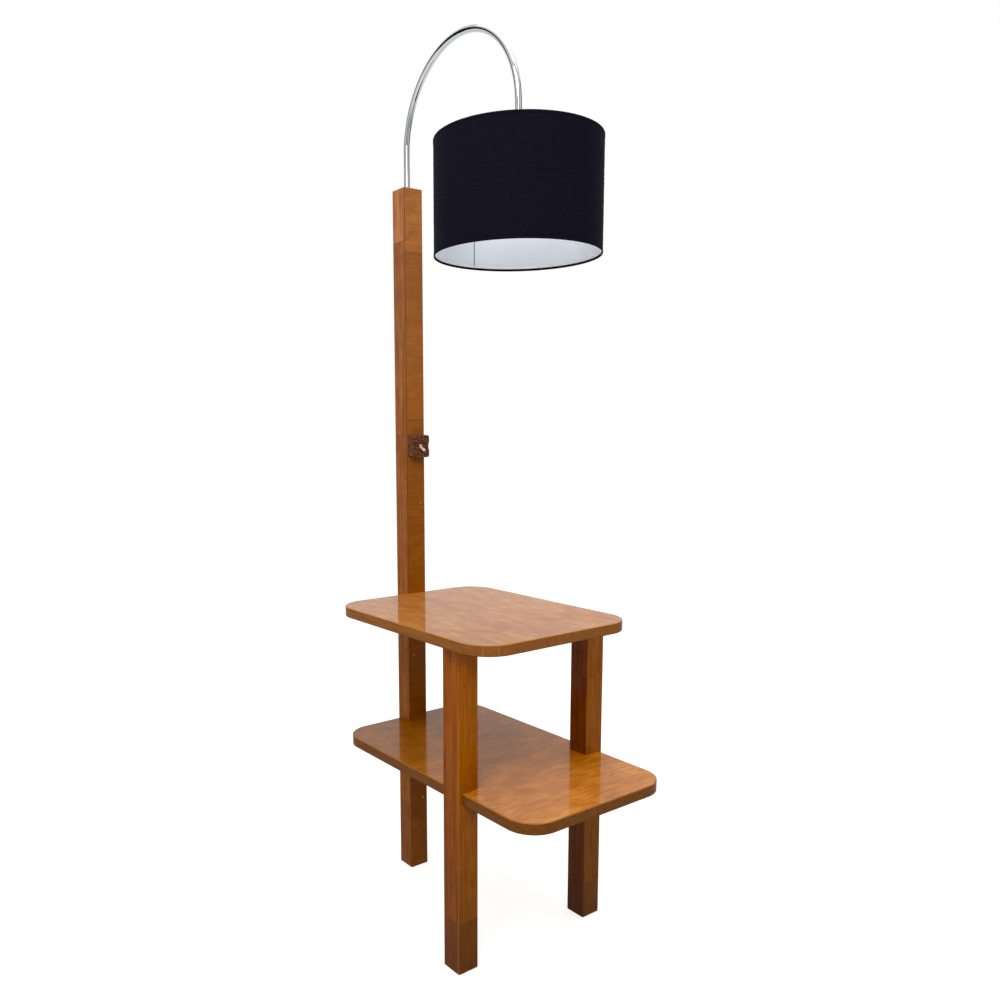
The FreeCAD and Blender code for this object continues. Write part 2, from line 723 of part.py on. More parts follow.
def toggle_lever(pivot):
    """Return the lever: a slim taper that swells towards a round tip, turned as one piece."""
    root, tip = toggle_lever_root, toggle_lever_tip
    end = pivot + X * toggle_lever_length
    shoulder = end + Z * tip
    nose = end + X * tip
    bend = end + (X + Z) * (tip / math.sqrt(2))
    outline = [Part.LineSegment(pivot, pivot + Z * root).toShape(),
               Part.LineSegment(pivot + Z * root, shoulder).toShape(),
               Part.Arc(shoulder, bend, nose).toShape(),
               Part.LineSegment(nose, pivot).toShape()]
    return Part.Face(Part.Wire(outline)).revolve(pivot, X, 360)


def make_toggle():
    """Return the toggle, its lever pointing down as it rests."""
    pivot = V(pivot_x, 0, switch_height)
    hub = rod(pivot - Y * (toggle_hub_width / 2), Y, toggle_hub_width, toggle_hub_radius)
    toggle = hub.fuse(toggle_lever(pivot)).removeSplitter()
    toggle = toggle.cut(rod(pivot - Y * toggle_hub_width, Y, 2 * toggle_hub_width,
                            toggle_pin_radius + turning_gap))
    toggle.rotate(pivot, Y, toggle_rest_angle)
    return toggle


def make_bridge():
    """Return the brass contact on the toggle's heel."""
    pivot = V(pivot_x, 0, switch_height)
    w, h = bridge_width / 2, bridge_height / 2
    heel_x = pivot_x - toggle_hub_radius - bridge_reach
    bar = box(heel_x, pivot_x, -w, w, switch_height - h, switch_height + h)
    bar = bar.cut(rod(pivot - Y * toggle_hub_width, Y, 2 * toggle_hub_width, toggle_hub_radius))
    bar.rotate(pivot, Y, toggle_rest_angle)
    return bar


def make_toggle_pin():
    """Return the pin on which the toggle turns."""
    reach = toggle_hub_width / 2 + moving_gap + ear_thickness
    return rod(V(pivot_x, -reach, switch_height), Y, 2 * reach, toggle_pin_radius)


def blade_top():
    """Return the height just under the toggle's contact when the lever points up."""
    angle = math.radians(toggle_rest_angle)
    reach = (toggle_hub_radius + bridge_reach) * math.sin(angle)
    return switch_height - reach - bridge_height / 2 * math.cos(angle) - moving_gap


def make_terminals():
    """Return the two brass terminals, each with a blade that the toggle's contact comes down to."""
    front = post_face + switch_base
    blocks = []
    for y in (-terminal_side, terminal_side):
        w = terminal_width / 2
        block = box(front, front + terminal_depth, y - w, y + w, terminal_foot_z, terminal_top_z)
        hole = rod(V(front + terminal_depth - terminal_screw_bite, y, terminal_z), X, terminal_screw_bite,
                   terminal_screw_radius + glue_gap)
        inner = math.copysign(terminal_side - w, y)
        far = inner + math.copysign(terminal_blade, y)
        blade = box(front, front + terminal_blade, min(inner, far), max(inner, far), terminal_top_z,
                    blade_top())
        blocks.append(block.cut(hole).fuse(blade).removeSplitter())
    return blocks


def make_terminal_screws():
    """Return the clamping screws of the terminals."""
    face = post_face + switch_base + terminal_depth
    return [rod(V(face - terminal_screw_bite, y, terminal_z), X, terminal_screw_length, terminal_screw_radius)
            for y in (-terminal_side, terminal_side)]


def make_wires():
    """Return the two wires that branch off the lead and run through the post to the switch."""
    wires = []
    level = terminal_z
    for y in (-terminal_side, terminal_side):
        low = V(lead_x, y, level - wire_bend - wire_tail)
        bend_start = V(lead_x, y, level - wire_bend)
        bend_middle = V(lead_x + wire_bend * (1 - math.cos(math.pi / 4)), y,
                        level - wire_bend * (1 - math.sin(math.pi / 4)))
        bend_end = V(lead_x + wire_bend, y, level)
        edges = [Part.LineSegment(low, bend_start).toShape(),
                 Part.Arc(bend_start, bend_middle, bend_end).toShape(),
                 Part.LineSegment(bend_end, V(post_face + switch_base, y, level)).toShape()]
        wires.append(swept(Part.Wire(edges), low, Z, wire_radius))
    return wires


def wood_parts():
    """Return the nodes of the table and the tall post."""
    top_dowels, leg_dowels, shelf_dowels = make_dowels()
    bores = widened(top_dowels + leg_dowels + shelf_dowels)
    post_bores = bores + pin_holes()
    post_bores += [rod(V(post_face + switch_base - fixing_screw_length, y, z), X, fixing_screw_length,
                       fixing_screw_radius + glue_gap) for y, z in fixing_places()]
    post, strip = make_tall_post(post_bores)
    top, top_band = make_top(bores)
    shelf, shelf_band = make_shelf(bores)
    return {"tall_post": post, "channel_cover_strip": strip, "channel_cover_pins": make_cover_pins(),
            "front_leg": make_leg(-leg_spread, bores), "right_leg": make_leg(leg_spread, bores),
            "table_top": top, "table_top_edge_band": top_band,
            "lower_shelf": shelf, "lower_shelf_edge_band": shelf_band,
            "table_top_dowels": top_dowels, "leg_head_dowels": leg_dowels, "shelf_dowels": shelf_dowels}


def arm_parts():
    """Return the nodes of the socket, the tube, the holder, the bulb and the leads."""
    glass, cap = make_bulb()
    return {"tube_socket": make_socket(), "arch_tube": make_tube(), "holder_nipple": make_nipple(),
            "arm_lead": make_arm_lead(), "post_lead": make_post_lead(), "cord_bush": make_bush(),
            "holder_cap": make_holder_cap(), "holder_body": make_holder_body(),
            "holder_insert": make_insert(), "holder_screw_shell": make_screw_shell(),
            "holder_centre_contact": make_centre_contact(), "shade_ring": make_shade_ring(),
            "bulb_glass": glass, "bulb_cap": cap}


def shade_parts():
    """Return the nodes of the shade."""
    fabric, lining = make_shade_wall()
    return {"shade_fabric": fabric, "shade_lining": lining, "shade_carrier": make_spider(),
            "shade_bottom_ring": make_bottom_ring(), "shade_trim_upper": make_trim(shade_top_z, -1),
            "shade_trim_lower": make_trim(shade_bottom_z, 1)}


def switch_parts():
    """Return the nodes of the switch."""
    return {"switch_base": make_switch_base(), "switch_cover": make_switch_cover(),
            "switch_cover_screws": make_cover_screws(), "switch_fixing_screws": make_fixing_screws(),
            "switch_toggle": make_toggle(), "switch_toggle_contact": make_bridge(),
            "switch_toggle_pin": make_toggle_pin(), "switch_terminals": make_terminals(),
            "switch_terminal_screws": make_terminal_screws(), "switch_wires": make_wires()}


def main():
    """Build every piece and write one STEP file for each node."""
    os.makedirs("parts", exist_ok=True)
    nodes = {}
    for group in (wood_parts(), arm_parts(), shade_parts(), switch_parts()):
        nodes.update(group)
    for name, shape in nodes.items():
        if isinstance(shape, list):
            shape = Part.makeCompound(shape)
        good = shape.isValid() and shape.Volume > 0
        print(f"{name:24s} solids {len(shape.Solids)}  volume {shape.Volume:12.1f}  valid {good}")
        shape.exportStep(f"parts/{name}.step")


main()
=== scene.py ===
"""Dress a floor lamp with a small table: veneered posts and boards, bent tube, drum shade, switch."""
import logging
import math
from dataclasses import dataclass
from enum import Enum
from functools import partial
from typing import Any, Callable, Sequence

import bmesh
import bpy
from bpy.types import Material, Mesh, Node, NodeSocket, NodeTree, Object
from mathutils import Matrix, Vector, noise


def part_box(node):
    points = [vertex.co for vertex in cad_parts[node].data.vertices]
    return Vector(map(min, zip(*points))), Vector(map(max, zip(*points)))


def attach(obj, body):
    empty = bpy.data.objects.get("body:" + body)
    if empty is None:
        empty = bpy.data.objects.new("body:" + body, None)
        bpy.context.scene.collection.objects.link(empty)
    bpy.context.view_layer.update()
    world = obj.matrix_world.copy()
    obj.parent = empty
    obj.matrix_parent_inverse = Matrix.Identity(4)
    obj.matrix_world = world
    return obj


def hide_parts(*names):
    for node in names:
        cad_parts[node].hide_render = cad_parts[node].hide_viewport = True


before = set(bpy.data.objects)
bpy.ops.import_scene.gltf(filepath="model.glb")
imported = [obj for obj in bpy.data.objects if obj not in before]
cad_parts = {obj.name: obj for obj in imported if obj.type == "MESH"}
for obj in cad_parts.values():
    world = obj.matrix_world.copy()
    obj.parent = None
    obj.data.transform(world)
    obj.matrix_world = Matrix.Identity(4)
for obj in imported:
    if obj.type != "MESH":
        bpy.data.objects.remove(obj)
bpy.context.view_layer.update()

log = logging.getLogger("lamp")

Add = Callable[..., Node]                # add_node, bound to one tree
Point = tuple[float, float, float]

MM = 0.001
TURN = 2 * math.pi
WHITE = (1.0, 1.0, 1.0, 1.0)

MATH, MIX, RANGE = "ShaderNodeMath", "ShaderNodeMix", "ShaderNodeMapRange"
NOISE, BUMP, FIT = "ShaderNodeTexNoise", "ShaderNodeBump", "ShaderNodeMapping"
COORDS, SPLIT, JOIN = "ShaderNodeTexCoord", "ShaderNodeSeparateXYZ", "ShaderNodeCombineXYZ"
SHADER, OUTPUT = "ShaderNodeBsdfPrincipled", "ShaderNodeOutputMaterial"


# ---- small helpers -----------------------------------------------------------------------------
def linear(colour: str) -> tuple[float, float, float, float]:
    """Turn an sRGB hex colour into linear values, by the standard's own curve.

    Args:
        colour: "#RRGGBB".

    Returns:
        Red, green, blue and an alpha of 1.
    """
    parts = [int(colour[i:i + 2], 16) / 255 for i in (1, 3, 5)]
    lin = [c / 12.92 if c <= 0.04045 else ((c + 0.055) / 1.055) ** 2.4 for c in parts]
    return lin[0], lin[1], lin[2], 1.0


def dimmed(colour: str, factors: Point) -> tuple[float, float, float, float]:
    """Return a hex colour in linear values, its red, green and blue each multiplied."""
    red, green, blue, alpha = linear(colour)
    return red * factors[0], green * factors[1], blue * factors[2], alpha


def add_node(tree: NodeTree, kind: str, inputs: dict[int | str, Any] | None = None, **settings: Any) -> Node:
    """Add one node to a shader or geometry tree, with its settings and its inputs.

    Args:
        tree: the tree that gets the node.
        kind: the node's type.
        inputs: by socket name or number: a constant, a socket, a node (its first live output), or a
            list of nodes for a socket that takes several.
        settings: properties by name; "stops" sets a colour ramp's places and colours.

    Returns:
        The new node.
    """
    node = tree.nodes.new(kind)
    for name, value in settings.items():
        if name == "stops":
            ramp = node.color_ramp.elements
            for place, _ in value[2:]:
                ramp.new(place)
            for element, (place, colour) in zip(ramp, value):
                element.position = place
                element.color = colour
        else:
            setattr(node, name, value)
    for name, value in (inputs or {}).items():
        for source in value if isinstance(value, list) else [value]:
            if isinstance(source, Node):
                source = next(socket for socket in source.outputs if socket.enabled)
            if isinstance(source, NodeSocket):
                tree.links.new(source, node.inputs[name])
            else:
                node.inputs[name].default_value = source
    return node


def new_material(name: str) -> tuple[Material, Add]:
    """Return an empty node material and the function that adds a node to it."""
    material = bpy.data.materials.new(name)
    material.use_nodes = True
    material.node_tree.nodes.clear()
    return material, partial(add_node, material.node_tree)


def dress(material: Material, *names: str) -> None:
    """Give CAD nodes their finish."""
    for name in names:
        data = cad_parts[name].data
        data.materials.clear()
        data.materials.append(material)


def link_object(name: str, mesh: Mesh, material: Material) -> Object:
    """Put a finished mesh into the scene as a piece with one material."""
    piece = bpy.data.objects.new(name, mesh)
    bpy.context.scene.collection.objects.link(piece)
    if material.name not in mesh.materials:
        mesh.materials.append(material)
    return piece


def from_bmesh(name: str, mesh: bmesh.types.BMesh, material: Material) -> Object:
    """Turn a bmesh into a piece with one material, and free it."""
    data = bpy.data.meshes.new(name)
    mesh.to_mesh(data)
    mesh.free()
    return link_object(name, data, material)


def lathe(name: str, profile: Sequence[tuple[float, float]], centre: tuple[float, float], steps: int,
          material: Material, swell: Callable[[float, float, float], float] | None = None,
          start: float = 0.0, sweep: float = TURN) -> Object:
    """Turn a closed profile about an upright axis and unroll it on a UV map in metres.

    Args:
        name: the piece's name.
        profile: closed outline of (radius, height) points in mm.
        centre: the axis' x and y in mm.
        steps: how many faces go round.
        material: the piece's finish.
        swell: gives how far a point at (angle, radius, height) stands out, in mm.
        start: angle at which the sweep starts, in radians.
        sweep: angle swept; less than a full turn gets two end faces.

    Returns:
        The new piece.
    """
    mesh = bmesh.new()
    uv = mesh.loops.layers.uv.new("unrolled")
    full = math.isclose(sweep, TURN)
    columns = steps if full else steps + 1
    rings = []
    for i in range(columns):
        angle = start + sweep * i / steps
        ring = []
        for radius, height in profile:
            r = radius + (swell(angle, radius, height) if swell else 0.0)
            ring.append(mesh.verts.new(Vector((centre[0] + r * math.cos(angle),
                                               centre[1] + r * math.sin(angle), height)) * MM))
        rings.append(ring)
    count = len(profile)
    for i in range(steps):
        for j in range(count):
            k = (j + 1) % count
            near, far = rings[i], rings[(i + 1) % columns]
            face = mesh.faces.new((near[j], far[j], far[k], near[k]))
            face.smooth = True
            for loop, (column, row) in zip(face.loops, ((i, j), (i + 1, j), (i + 1, k), (i, k))):
                arc = (start + sweep * column / steps) * profile[row][0]
                loop[uv].uv = (arc * MM, profile[row][1] * MM)
    if not full:
        mesh.faces.new(rings[0])
        mesh.faces.new(list(reversed(rings[-1])))
    bmesh.ops.recalc_face_normals(mesh, faces=mesh.faces)
    return from_bmesh(name, mesh, material)


def new_tree(name: str, sockets: dict[str, str]) -> tuple[NodeTree, Add, Any]:
    """Start a geometry tree with named inputs.

    Args:
        name: the tree's name.
        sockets: what each named input takes: Int, Float or Vector.

    Returns:
        The tree, the function that adds a node to it, and its inputs by name.
    """
    tree = bpy.data.node_groups.new(name, "GeometryNodeTree")
    for label, kind in sockets.items():
        tree.interface.new_socket(name=label, in_out="INPUT", socket_type="NodeSocket" + kind)
    tree.interface.new_socket(name="Geometry", in_out="OUTPUT", socket_type="NodeSocketGeometry")
    add = partial(add_node, tree)
    return tree, add, add("NodeGroupInput").outputs


def end_tree(add: Add, geometry: Node, material: Material) -> None:
    """Close a geometry tree: real meshes instead of instances, then the material."""
    real = add("GeometryNodeRealizeInstances", {0: geometry})
    done = add("GeometryNodeSetMaterial", {"Geometry": real, "Material": material})
    add("NodeGroupOutput", {0: done})


def grow(name: str, tree: NodeTree, values: dict[str, Any], material: Material,
         smooth: bool = True) -> Object:
    """Run a geometry tree once and keep its result as a plain mesh.

    Args:
        name: the piece's name.
        tree: the geometry tree.
        values: its inputs by name.
        material: the piece's finish.
        smooth: whether faces are shaded smooth.

    Returns:
        The piece, with no modifier left on it.
    """
    piece = bpy.data.objects.new(name, bpy.data.meshes.new(name))
    bpy.context.scene.collection.objects.link(piece)
    modifier = piece.modifiers.new("nodes", "NODES")
    modifier.node_group = tree
    for item in tree.interface.items_tree:
        if item.in_out == "INPUT" and item.name in values:
            modifier[item.identifier] = values[item.name]
    evaluated = piece.evaluated_get(bpy.context.evaluated_depsgraph_get())
    mesh = bpy.data.meshes.new_from_object(evaluated)
    piece.modifiers.remove(modifier)
    piece.data = mesh
    if material.name not in mesh.materials:
        mesh.materials.append(material)
    mesh.polygons.foreach_set("use_smooth", [smooth] * len(mesh.polygons))
    return piece


# ---- finishes ----------------------------------------------------------------------------------
class Along(Enum):
    """The direction in which a pattern runs."""

    X = 0
    Y = 1
    Z = 2


def stretch(along: Along, wide: float, long: float) -> Point:
    """Return the scale at which one unit is wide mm across a direction and long mm along it."""
    scale = [1 / (wide * MM)] * 3
    scale[along.value] = 1 / (long * MM)
    return scale[0], scale[1], scale[2]


@dataclass(frozen=True)
class SeamOrPaintedArris:
    """A thin line at one place along an axis, on one face: glue lines where two veneers meet, and also
    painted highlights and painted shade along arrises.
    """

    axis: Along
    at: float                            # mm
    beside: Along                        # the line is only drawn past a place on this axis
    beyond: float                        # mm; below it if negative, above it otherwise
    colour: str
    width: float = 1.2                   # mm, wider than a real one, or it would not show


@dataclass(frozen=True)
class Drift:
    """A slow change of brightness or richness along one axis; on the shelf and the legs it is painted shade.
    """

    axis: Along
    start: float                         # mm
    first: float                         # the factor there
    end: float                           # mm
    last: float

    def build(self, add: Add, parts: Any) -> Node:
        """Return the factor at the point being shaded."""
        return add(RANGE, {"Value": parts[self.axis.value], "From Min": self.start * MM,
                           "From Max": self.end * MM, "To Min": self.first, "To Max": self.last})


@dataclass(frozen=True)
class Veneer:
    """Sliced hardwood veneer under hand-rubbed shellac: silky figure below a thin clear gloss."""

    name: str
    light: str
    middle: str
    dark: str
    fibres: Along                        # the fibres run this way
    line: float = 9.0                    # mm across one growth line
    run: float = 160.0                   # mm over which a growth line keeps its course
    figure: float = 42.0                 # mm, size of the cloudy figure
    lines: float = 0.3                   # strength of the growth lines
    cloud: float = 0.8                   # strength of the cloudy figure
    hairs: float = 0.6                   # strength of the fine fibres
    joints: tuple[float, ...] = ()       # mm, where one leaf of veneer ends and the next begins
    across: Along = Along.Z              # joints are places along this axis
    mirrored: bool = False               # leaves are opened like a book about the first joint
    joint_width: float = 0.9             # mm, wider than a real one, or it would not show
    leaves: tuple[float, ...] = (1.0,)   # brightness of each leaf, one more than the joints
    cheek: float = 1.0                   # brightness on the faces that look along Y: their own leaf's, and on the right leg painted shade too
    cheek_lines: float = 0.0             # how much stronger its growth lines are there
    cheek_hue: float = 0.5               # its hue there; 0.5 is the same, less is redder
    joint_tone: float = 0.7              # how dark a joint is
    gloss: float = 0.6                   # weight of the clear coat
    haze: float = 0.12                   # roughness of the clear coat
    seed: float = 0.0
    # glue lines between veneers, and painted highlights and painted shade along arrises
    line_marks: tuple[SeamOrPaintedArris, ...] = ()
    drift: Drift | None = None           # brightness; painted shade on the shelf and the legs
    richness: Drift | None = None        # saturation; deeper in the painted shade on the shelf and the legs
    scuffed: float = 0.0                 # mm above the floor up to which the finish is chipped
    tones: Point = (0.3, 0.5, 0.7)       # tones of the dark, middle and light colour
    course_lines: float = 9.0            # growth lines in one wave of their course
    course_width: float = 4.0            # width of that wave, in growth lines
    figure_length: float = 1.7           # how much longer than wide the figure is
    fibre_size: tuple[float, float] = (1.5, 40.0)    # mm across, along; finer ones would not show
    pore_size: tuple[float, float] = (0.5, 7.0)      # mm across, along
    pore_range: tuple[float, float] = (0.62, 0.74)   # the pattern's level where a pore starts, is full
    pore_share: float = 0.45
    pore_dim: Point = (0.5, 0.5, 0.5)    # a pore's colour against the dark one
    joint_dim: Point = (0.45, 0.4, 0.4)  # a joint's colour against the dark one
    leaf_step: float = 3.7               # how far the pattern jumps from one leaf to the next
    cheek_slope: float = 0.7             # faces past this share of Y look along Y
    satin: tuple[float, float] = (0.34, 0.5)         # the wood's own roughness
    relief: float = 0.12                 # mm, depth of the fibres
    relief_share: float = 0.25
    wood_gleam: float = 0.02             # specular level; the coat gives the shine
    chip_size: float = 7.0               # mm
    chip_range: tuple[float, float] = (0.4, 0.47)    # the pattern's level where a chip starts, is full
    chip_share: float = 0.8
    bare: str = "#BE9868"                # the wood under a chip

    def build(self) -> Material:
        """Return the veneer's material."""
        material, add = new_material(self.name)
        place = add(COORDS).outputs["Object"]
        parts = add(SPLIT, {0: place}).outputs
        leaf, joint, bright = self._leaves(add, parts)
        if self.mirrored:
            place = self._opened(add, parts)
        cheek = self._cheek(add)
        tone, fibre, pores = self._tone(add, place, leaf, cheek)
        stops = list(zip(self.tones, map(linear, (self.dark, self.middle, self.light))))
        colour: Any = add("ShaderNodeValToRGB", {0: tone}, stops=stops)
        if self.drift:
            bright = add(MATH, {0: bright, 1: self.drift.build(add, parts)}, operation="MULTIPLY")
        side = add(MATH, {0: cheek, 1: self.cheek - 1.0, 2: 1.0}, operation="MULTIPLY_ADD")
        bright = add(MATH, {0: bright, 1: side}, operation="MULTIPLY")
        hue = add(MATH, {0: cheek, 1: self.cheek_hue - 0.5, 2: 0.5}, operation="MULTIPLY_ADD")
        rich = self.richness.build(add, parts) if self.richness else 1.0
        colour = add("ShaderNodeHueSaturation", {
            "Hue": hue, "Saturation": rich, "Value": bright, "Color": colour})
        for share, dim in ((pores, self.pore_dim), (joint, self.joint_dim)):
            colour = add(MIX, {0: share, 6: colour, 7: dimmed(self.dark, dim)}, data_type="RGBA")
        colour = self._draw_line_marks(add, parts, colour)
        if self.scuffed:
            colour = self._scuffs(add, parts, colour)
        rough = add(RANGE, {"Value": fibre, "To Min": self.satin[0], "To Max": self.satin[1]})
        grain = add(BUMP, {"Strength": self.relief_share, "Distance": self.relief * MM, "Height": fibre})
        shader = add(SHADER, {
            "Base Color": colour, "Roughness": rough, "IOR": 1.5, "Specular IOR Level": self.wood_gleam,
            "Normal": grain, "Coat Weight": self.gloss, "Coat Roughness": self.haze, "Coat IOR": 1.52})
        add(OUTPUT, {0: shader})
        return material

    def _leaves(self, add: Add, parts: Any) -> tuple[Any, Any, Any]:
        """Return the number of a point's leaf, how dark its joint is there, and how bright it is."""
        along = parts[self.across.value]
        leaf: Any = 0.0
        line: Any = 0.0
        bright: Any = self.leaves[0]
        for joint, before, after in zip(self.joints, self.leaves, self.leaves[1:]):
            past = add(MATH, {0: along, 1: joint * MM}, operation="GREATER_THAN")
            near = add(MATH, {0: along, 1: joint * MM, 2: self.joint_width * MM / 2}, operation="COMPARE")
            leaf = add(MATH, {0: leaf, 1: past}, operation="ADD")
            line = add(MATH, {0: line, 1: near}, operation="MAXIMUM")
            bright = add(MATH, {0: past, 1: after - before, 2: bright}, operation="MULTIPLY_ADD")
        step = 0.0 if self.mirrored else self.leaf_step
        number = add(MATH, {0: leaf, 1: step, 2: self.seed}, operation="MULTIPLY_ADD")
        return number, add(MATH, {0: line, 1: self.joint_tone}, operation="MULTIPLY"), bright

    def _cheek(self, add: Add) -> Node:
        """Return 1 on the faces that look along Y, whose leaf was cut from another log; on the right leg they
        also take painted shade.
        """
        facing = add(SPLIT, {0: add(COORDS).outputs["Normal"]}).outputs[Along.Y.value]
        sideways = add(MATH, {0: facing}, operation="ABSOLUTE")
        return add(MATH, {0: sideways, 1: self.cheek_slope}, operation="GREATER_THAN")

    def _opened(self, add: Add, parts: Any) -> Node:
        """Return the place with both leaves measured from the joint between them."""
        offset = add(MATH, {0: parts[self.across.value], 1: self.joints[0] * MM}, operation="SUBTRACT")
        inputs: dict[int | str, Any] = {axis.value: parts[axis.value] for axis in Along}
        inputs[self.across.value] = add(MATH, {0: offset}, operation="ABSOLUTE")
        return add(JOIN, inputs)

    def _tone(self, add: Add, place: Any, leaf: Any, cheek: Any) -> tuple[Node, Node, Node]:
        """Return the tone from dark to light, the fine fibre, and the share of open pores."""
        course, fibre, figure, specks = (
            add(NOISE, {"Vector": add(FIT, {"Vector": place, "Scale": stretch(self.fibres, wide, long)}),
                        "W": leaf, "Scale": 1.0, "Detail": detail, "Roughness": rough, "Distortion": bent},
                noise_dimensions="4D")
            for wide, long, detail, rough, bent in (
                (self.line * self.course_width, self.run, 2.0, 0.5, 0.5),
                (*self.fibre_size, 3.0, 0.6, 0.0),
                (self.figure, self.figure * self.figure_length, 4.0, 0.55, 1.4),
                (*self.pore_size, 1.0, 0.5, 0.0)))
        many = add(MATH, {0: course, 1: self.course_lines}, operation="MULTIPLY")
        lines = add(MATH, {0: many, 1: 1.0}, operation="PINGPONG")
        grain = add(RANGE, {"Value": lines, "To Min": -self.cheek_lines / 2, "To Max": self.cheek_lines / 2})
        tone = add(MATH, {0: cheek, 1: grain, 2: 0.5}, operation="MULTIPLY_ADD")
        for pattern, strength in ((lines, self.lines), (figure, self.cloud), (fibre, self.hairs)):
            swing = add(RANGE, {"Value": pattern, "To Min": -strength / 2, "To Max": strength / 2})
            tone = add(MATH, {0: tone, 1: swing}, operation="ADD")
        pores = add(RANGE, {"Value": specks, "From Min": self.pore_range[0], "From Max": self.pore_range[1],
                            "To Max": self.pore_share})
        return tone, fibre, pores

    def _draw_line_marks(self, add: Add, parts: Any, colour: Any) -> Any:
        """Return the colour with the glue lines where two lengths of veneer meet, and with the painted
        highlights and painted shade along arrises.
        """
        for seam in self.line_marks:
            near = add(MATH, {0: parts[seam.axis.value], 1: seam.at * MM, 2: seam.width * MM / 2},
                       operation="COMPARE")
            side = add(MATH, {0: parts[seam.beside.value], 1: seam.beyond * MM},
                       operation="LESS_THAN" if seam.beyond < 0 else "GREATER_THAN")
            both = add(MATH, {0: near, 1: side}, operation="MULTIPLY")
            colour = add(MIX, {0: both, 6: colour, 7: linear(seam.colour)}, data_type="RGBA")
        return colour

    def _scuffs(self, add: Add, parts: Any, colour: Any) -> Node:
        """Return the colour with pale bare wood where feet and brooms have chipped the finish."""
        chips = add(NOISE, {"Vector": add(COORDS).outputs["Object"], "Scale": 1 / (self.chip_size * MM),
                            "Detail": 4.0, "Roughness": 0.7})
        low = add(RANGE, {"Value": parts[Along.Z.value], "From Max": self.scuffed * MM,
                          "To Min": 1.0, "To Max": 0.0})
        open_wood = add(MATH, {0: chips, 1: low}, operation="MULTIPLY")
        share = add(RANGE, {"Value": open_wood, "From Min": self.chip_range[0],
                            "From Max": self.chip_range[1], "To Max": self.chip_share})
        return add(MIX, {0: share, 6: colour, 7: linear(self.bare)}, data_type="RGBA")


@dataclass(frozen=True)
class Metal:
    """Plated, drawn or turned metal: a clean mirror or satin with fine handling marks."""

    name: str
    colour: str
    roughness: float
    marks: float = 0.04                  # how much the roughness varies
    grain: float = 0.35                  # mm across one drawing line
    run: float = 30.0                    # mm along it
    along: Along = Along.Z
    relief: float = 0.05                 # strength of the drawing lines
    relief_depth: float = 0.03           # mm
    cloud: float = 18.0                  # mm across one handling mark
    cloud_range: tuple[float, float] = (0.3, 0.7)    # the pattern's levels at its least and most marked
    smoothest: float = 0.02
    worn: Point = (0.86, 0.86, 0.88)     # a mark's colour against the clean one

    def build(self) -> Material:
        """Return the metal's material."""
        material, add = new_material(self.name)
        place = add(COORDS).outputs["Object"]
        fine = add(FIT, {"Vector": place, "Scale": stretch(self.along, self.grain, self.run)})
        drawn = add(NOISE, {"Vector": fine, "Scale": 1.0, "Detail": 2.0})
        cloudy = add(NOISE, {"Vector": place, "Scale": 1 / (self.cloud * MM), "Detail": 3.0})
        rough = add(RANGE, {
            "Value": cloudy, "From Min": self.cloud_range[0], "From Max": self.cloud_range[1],
            "To Min": max(self.roughness - self.marks, self.smoothest),
            "To Max": self.roughness + self.marks})
        colour = add(MIX, {0: cloudy, 6: linear(self.colour), 7: dimmed(self.colour, self.worn)},
                     data_type="RGBA")
        relief = add(BUMP, {"Strength": self.relief, "Distance": self.relief_depth * MM, "Height": drawn})
        add(OUTPUT, {0: add(SHADER, {
            "Base Color": colour, "Metallic": 1.0, "Roughness": rough, "Normal": relief})})
        return material


@dataclass(frozen=True)
class Moulded:
    """Pressed phenolic, glazed or moulded stuff: two tones of filler under a smooth skin."""

    name: str
    colour: str
    fleck: str
    fleck_size: float                    # mm across one fleck
    amount: float                        # 0 even, 1 half flecks
    roughness: float
    coat: float = 0.0
    relief: float = 0.1                  # strength of the skin's pebbling
    gleam: float = 0.5                   # specular level
    relief_depth: float = 0.1            # mm
    pebble: float = 1.4                  # mm across one pebble of the skin
    spread: float = 0.2                  # share by which the roughness varies
    fleck_range: tuple[float, float] = (0.45, 0.65)  # the pattern's level where a fleck starts, is full
    coat_haze: float = 0.12

    def build(self) -> Material:
        """Return the moulding's material."""
        material, add = new_material(self.name)
        place = add(COORDS).outputs["Object"]
        mottle = add(NOISE, {"Vector": place, "Scale": 1 / (self.fleck_size * MM), "Detail": 4.0,
                             "Roughness": 0.65, "Distortion": 0.8})
        share = add(RANGE, {"Value": mottle, "From Min": self.fleck_range[0],
                            "From Max": self.fleck_range[1], "To Max": self.amount})
        colour = add(MIX, {0: share, 6: linear(self.colour), 7: linear(self.fleck)}, data_type="RGBA")
        skin = add(NOISE, {"Vector": place, "Scale": 1 / (self.pebble * MM), "Detail": 2.0})
        rough = add(RANGE, {"Value": skin, "To Min": self.roughness * (1 - self.spread),
                            "To Max": self.roughness * (1 + self.spread)})
        relief = add(BUMP, {"Strength": self.relief, "Distance": self.relief_depth * MM, "Height": skin})
        add(OUTPUT, {0: add(SHADER, {
            "Base Color": colour, "Roughness": rough, "IOR": 1.55, "Specular IOR Level": self.gleam,
            "Coat Weight": self.coat, "Coat Roughness": self.coat_haze, "Normal": relief})})
        return material


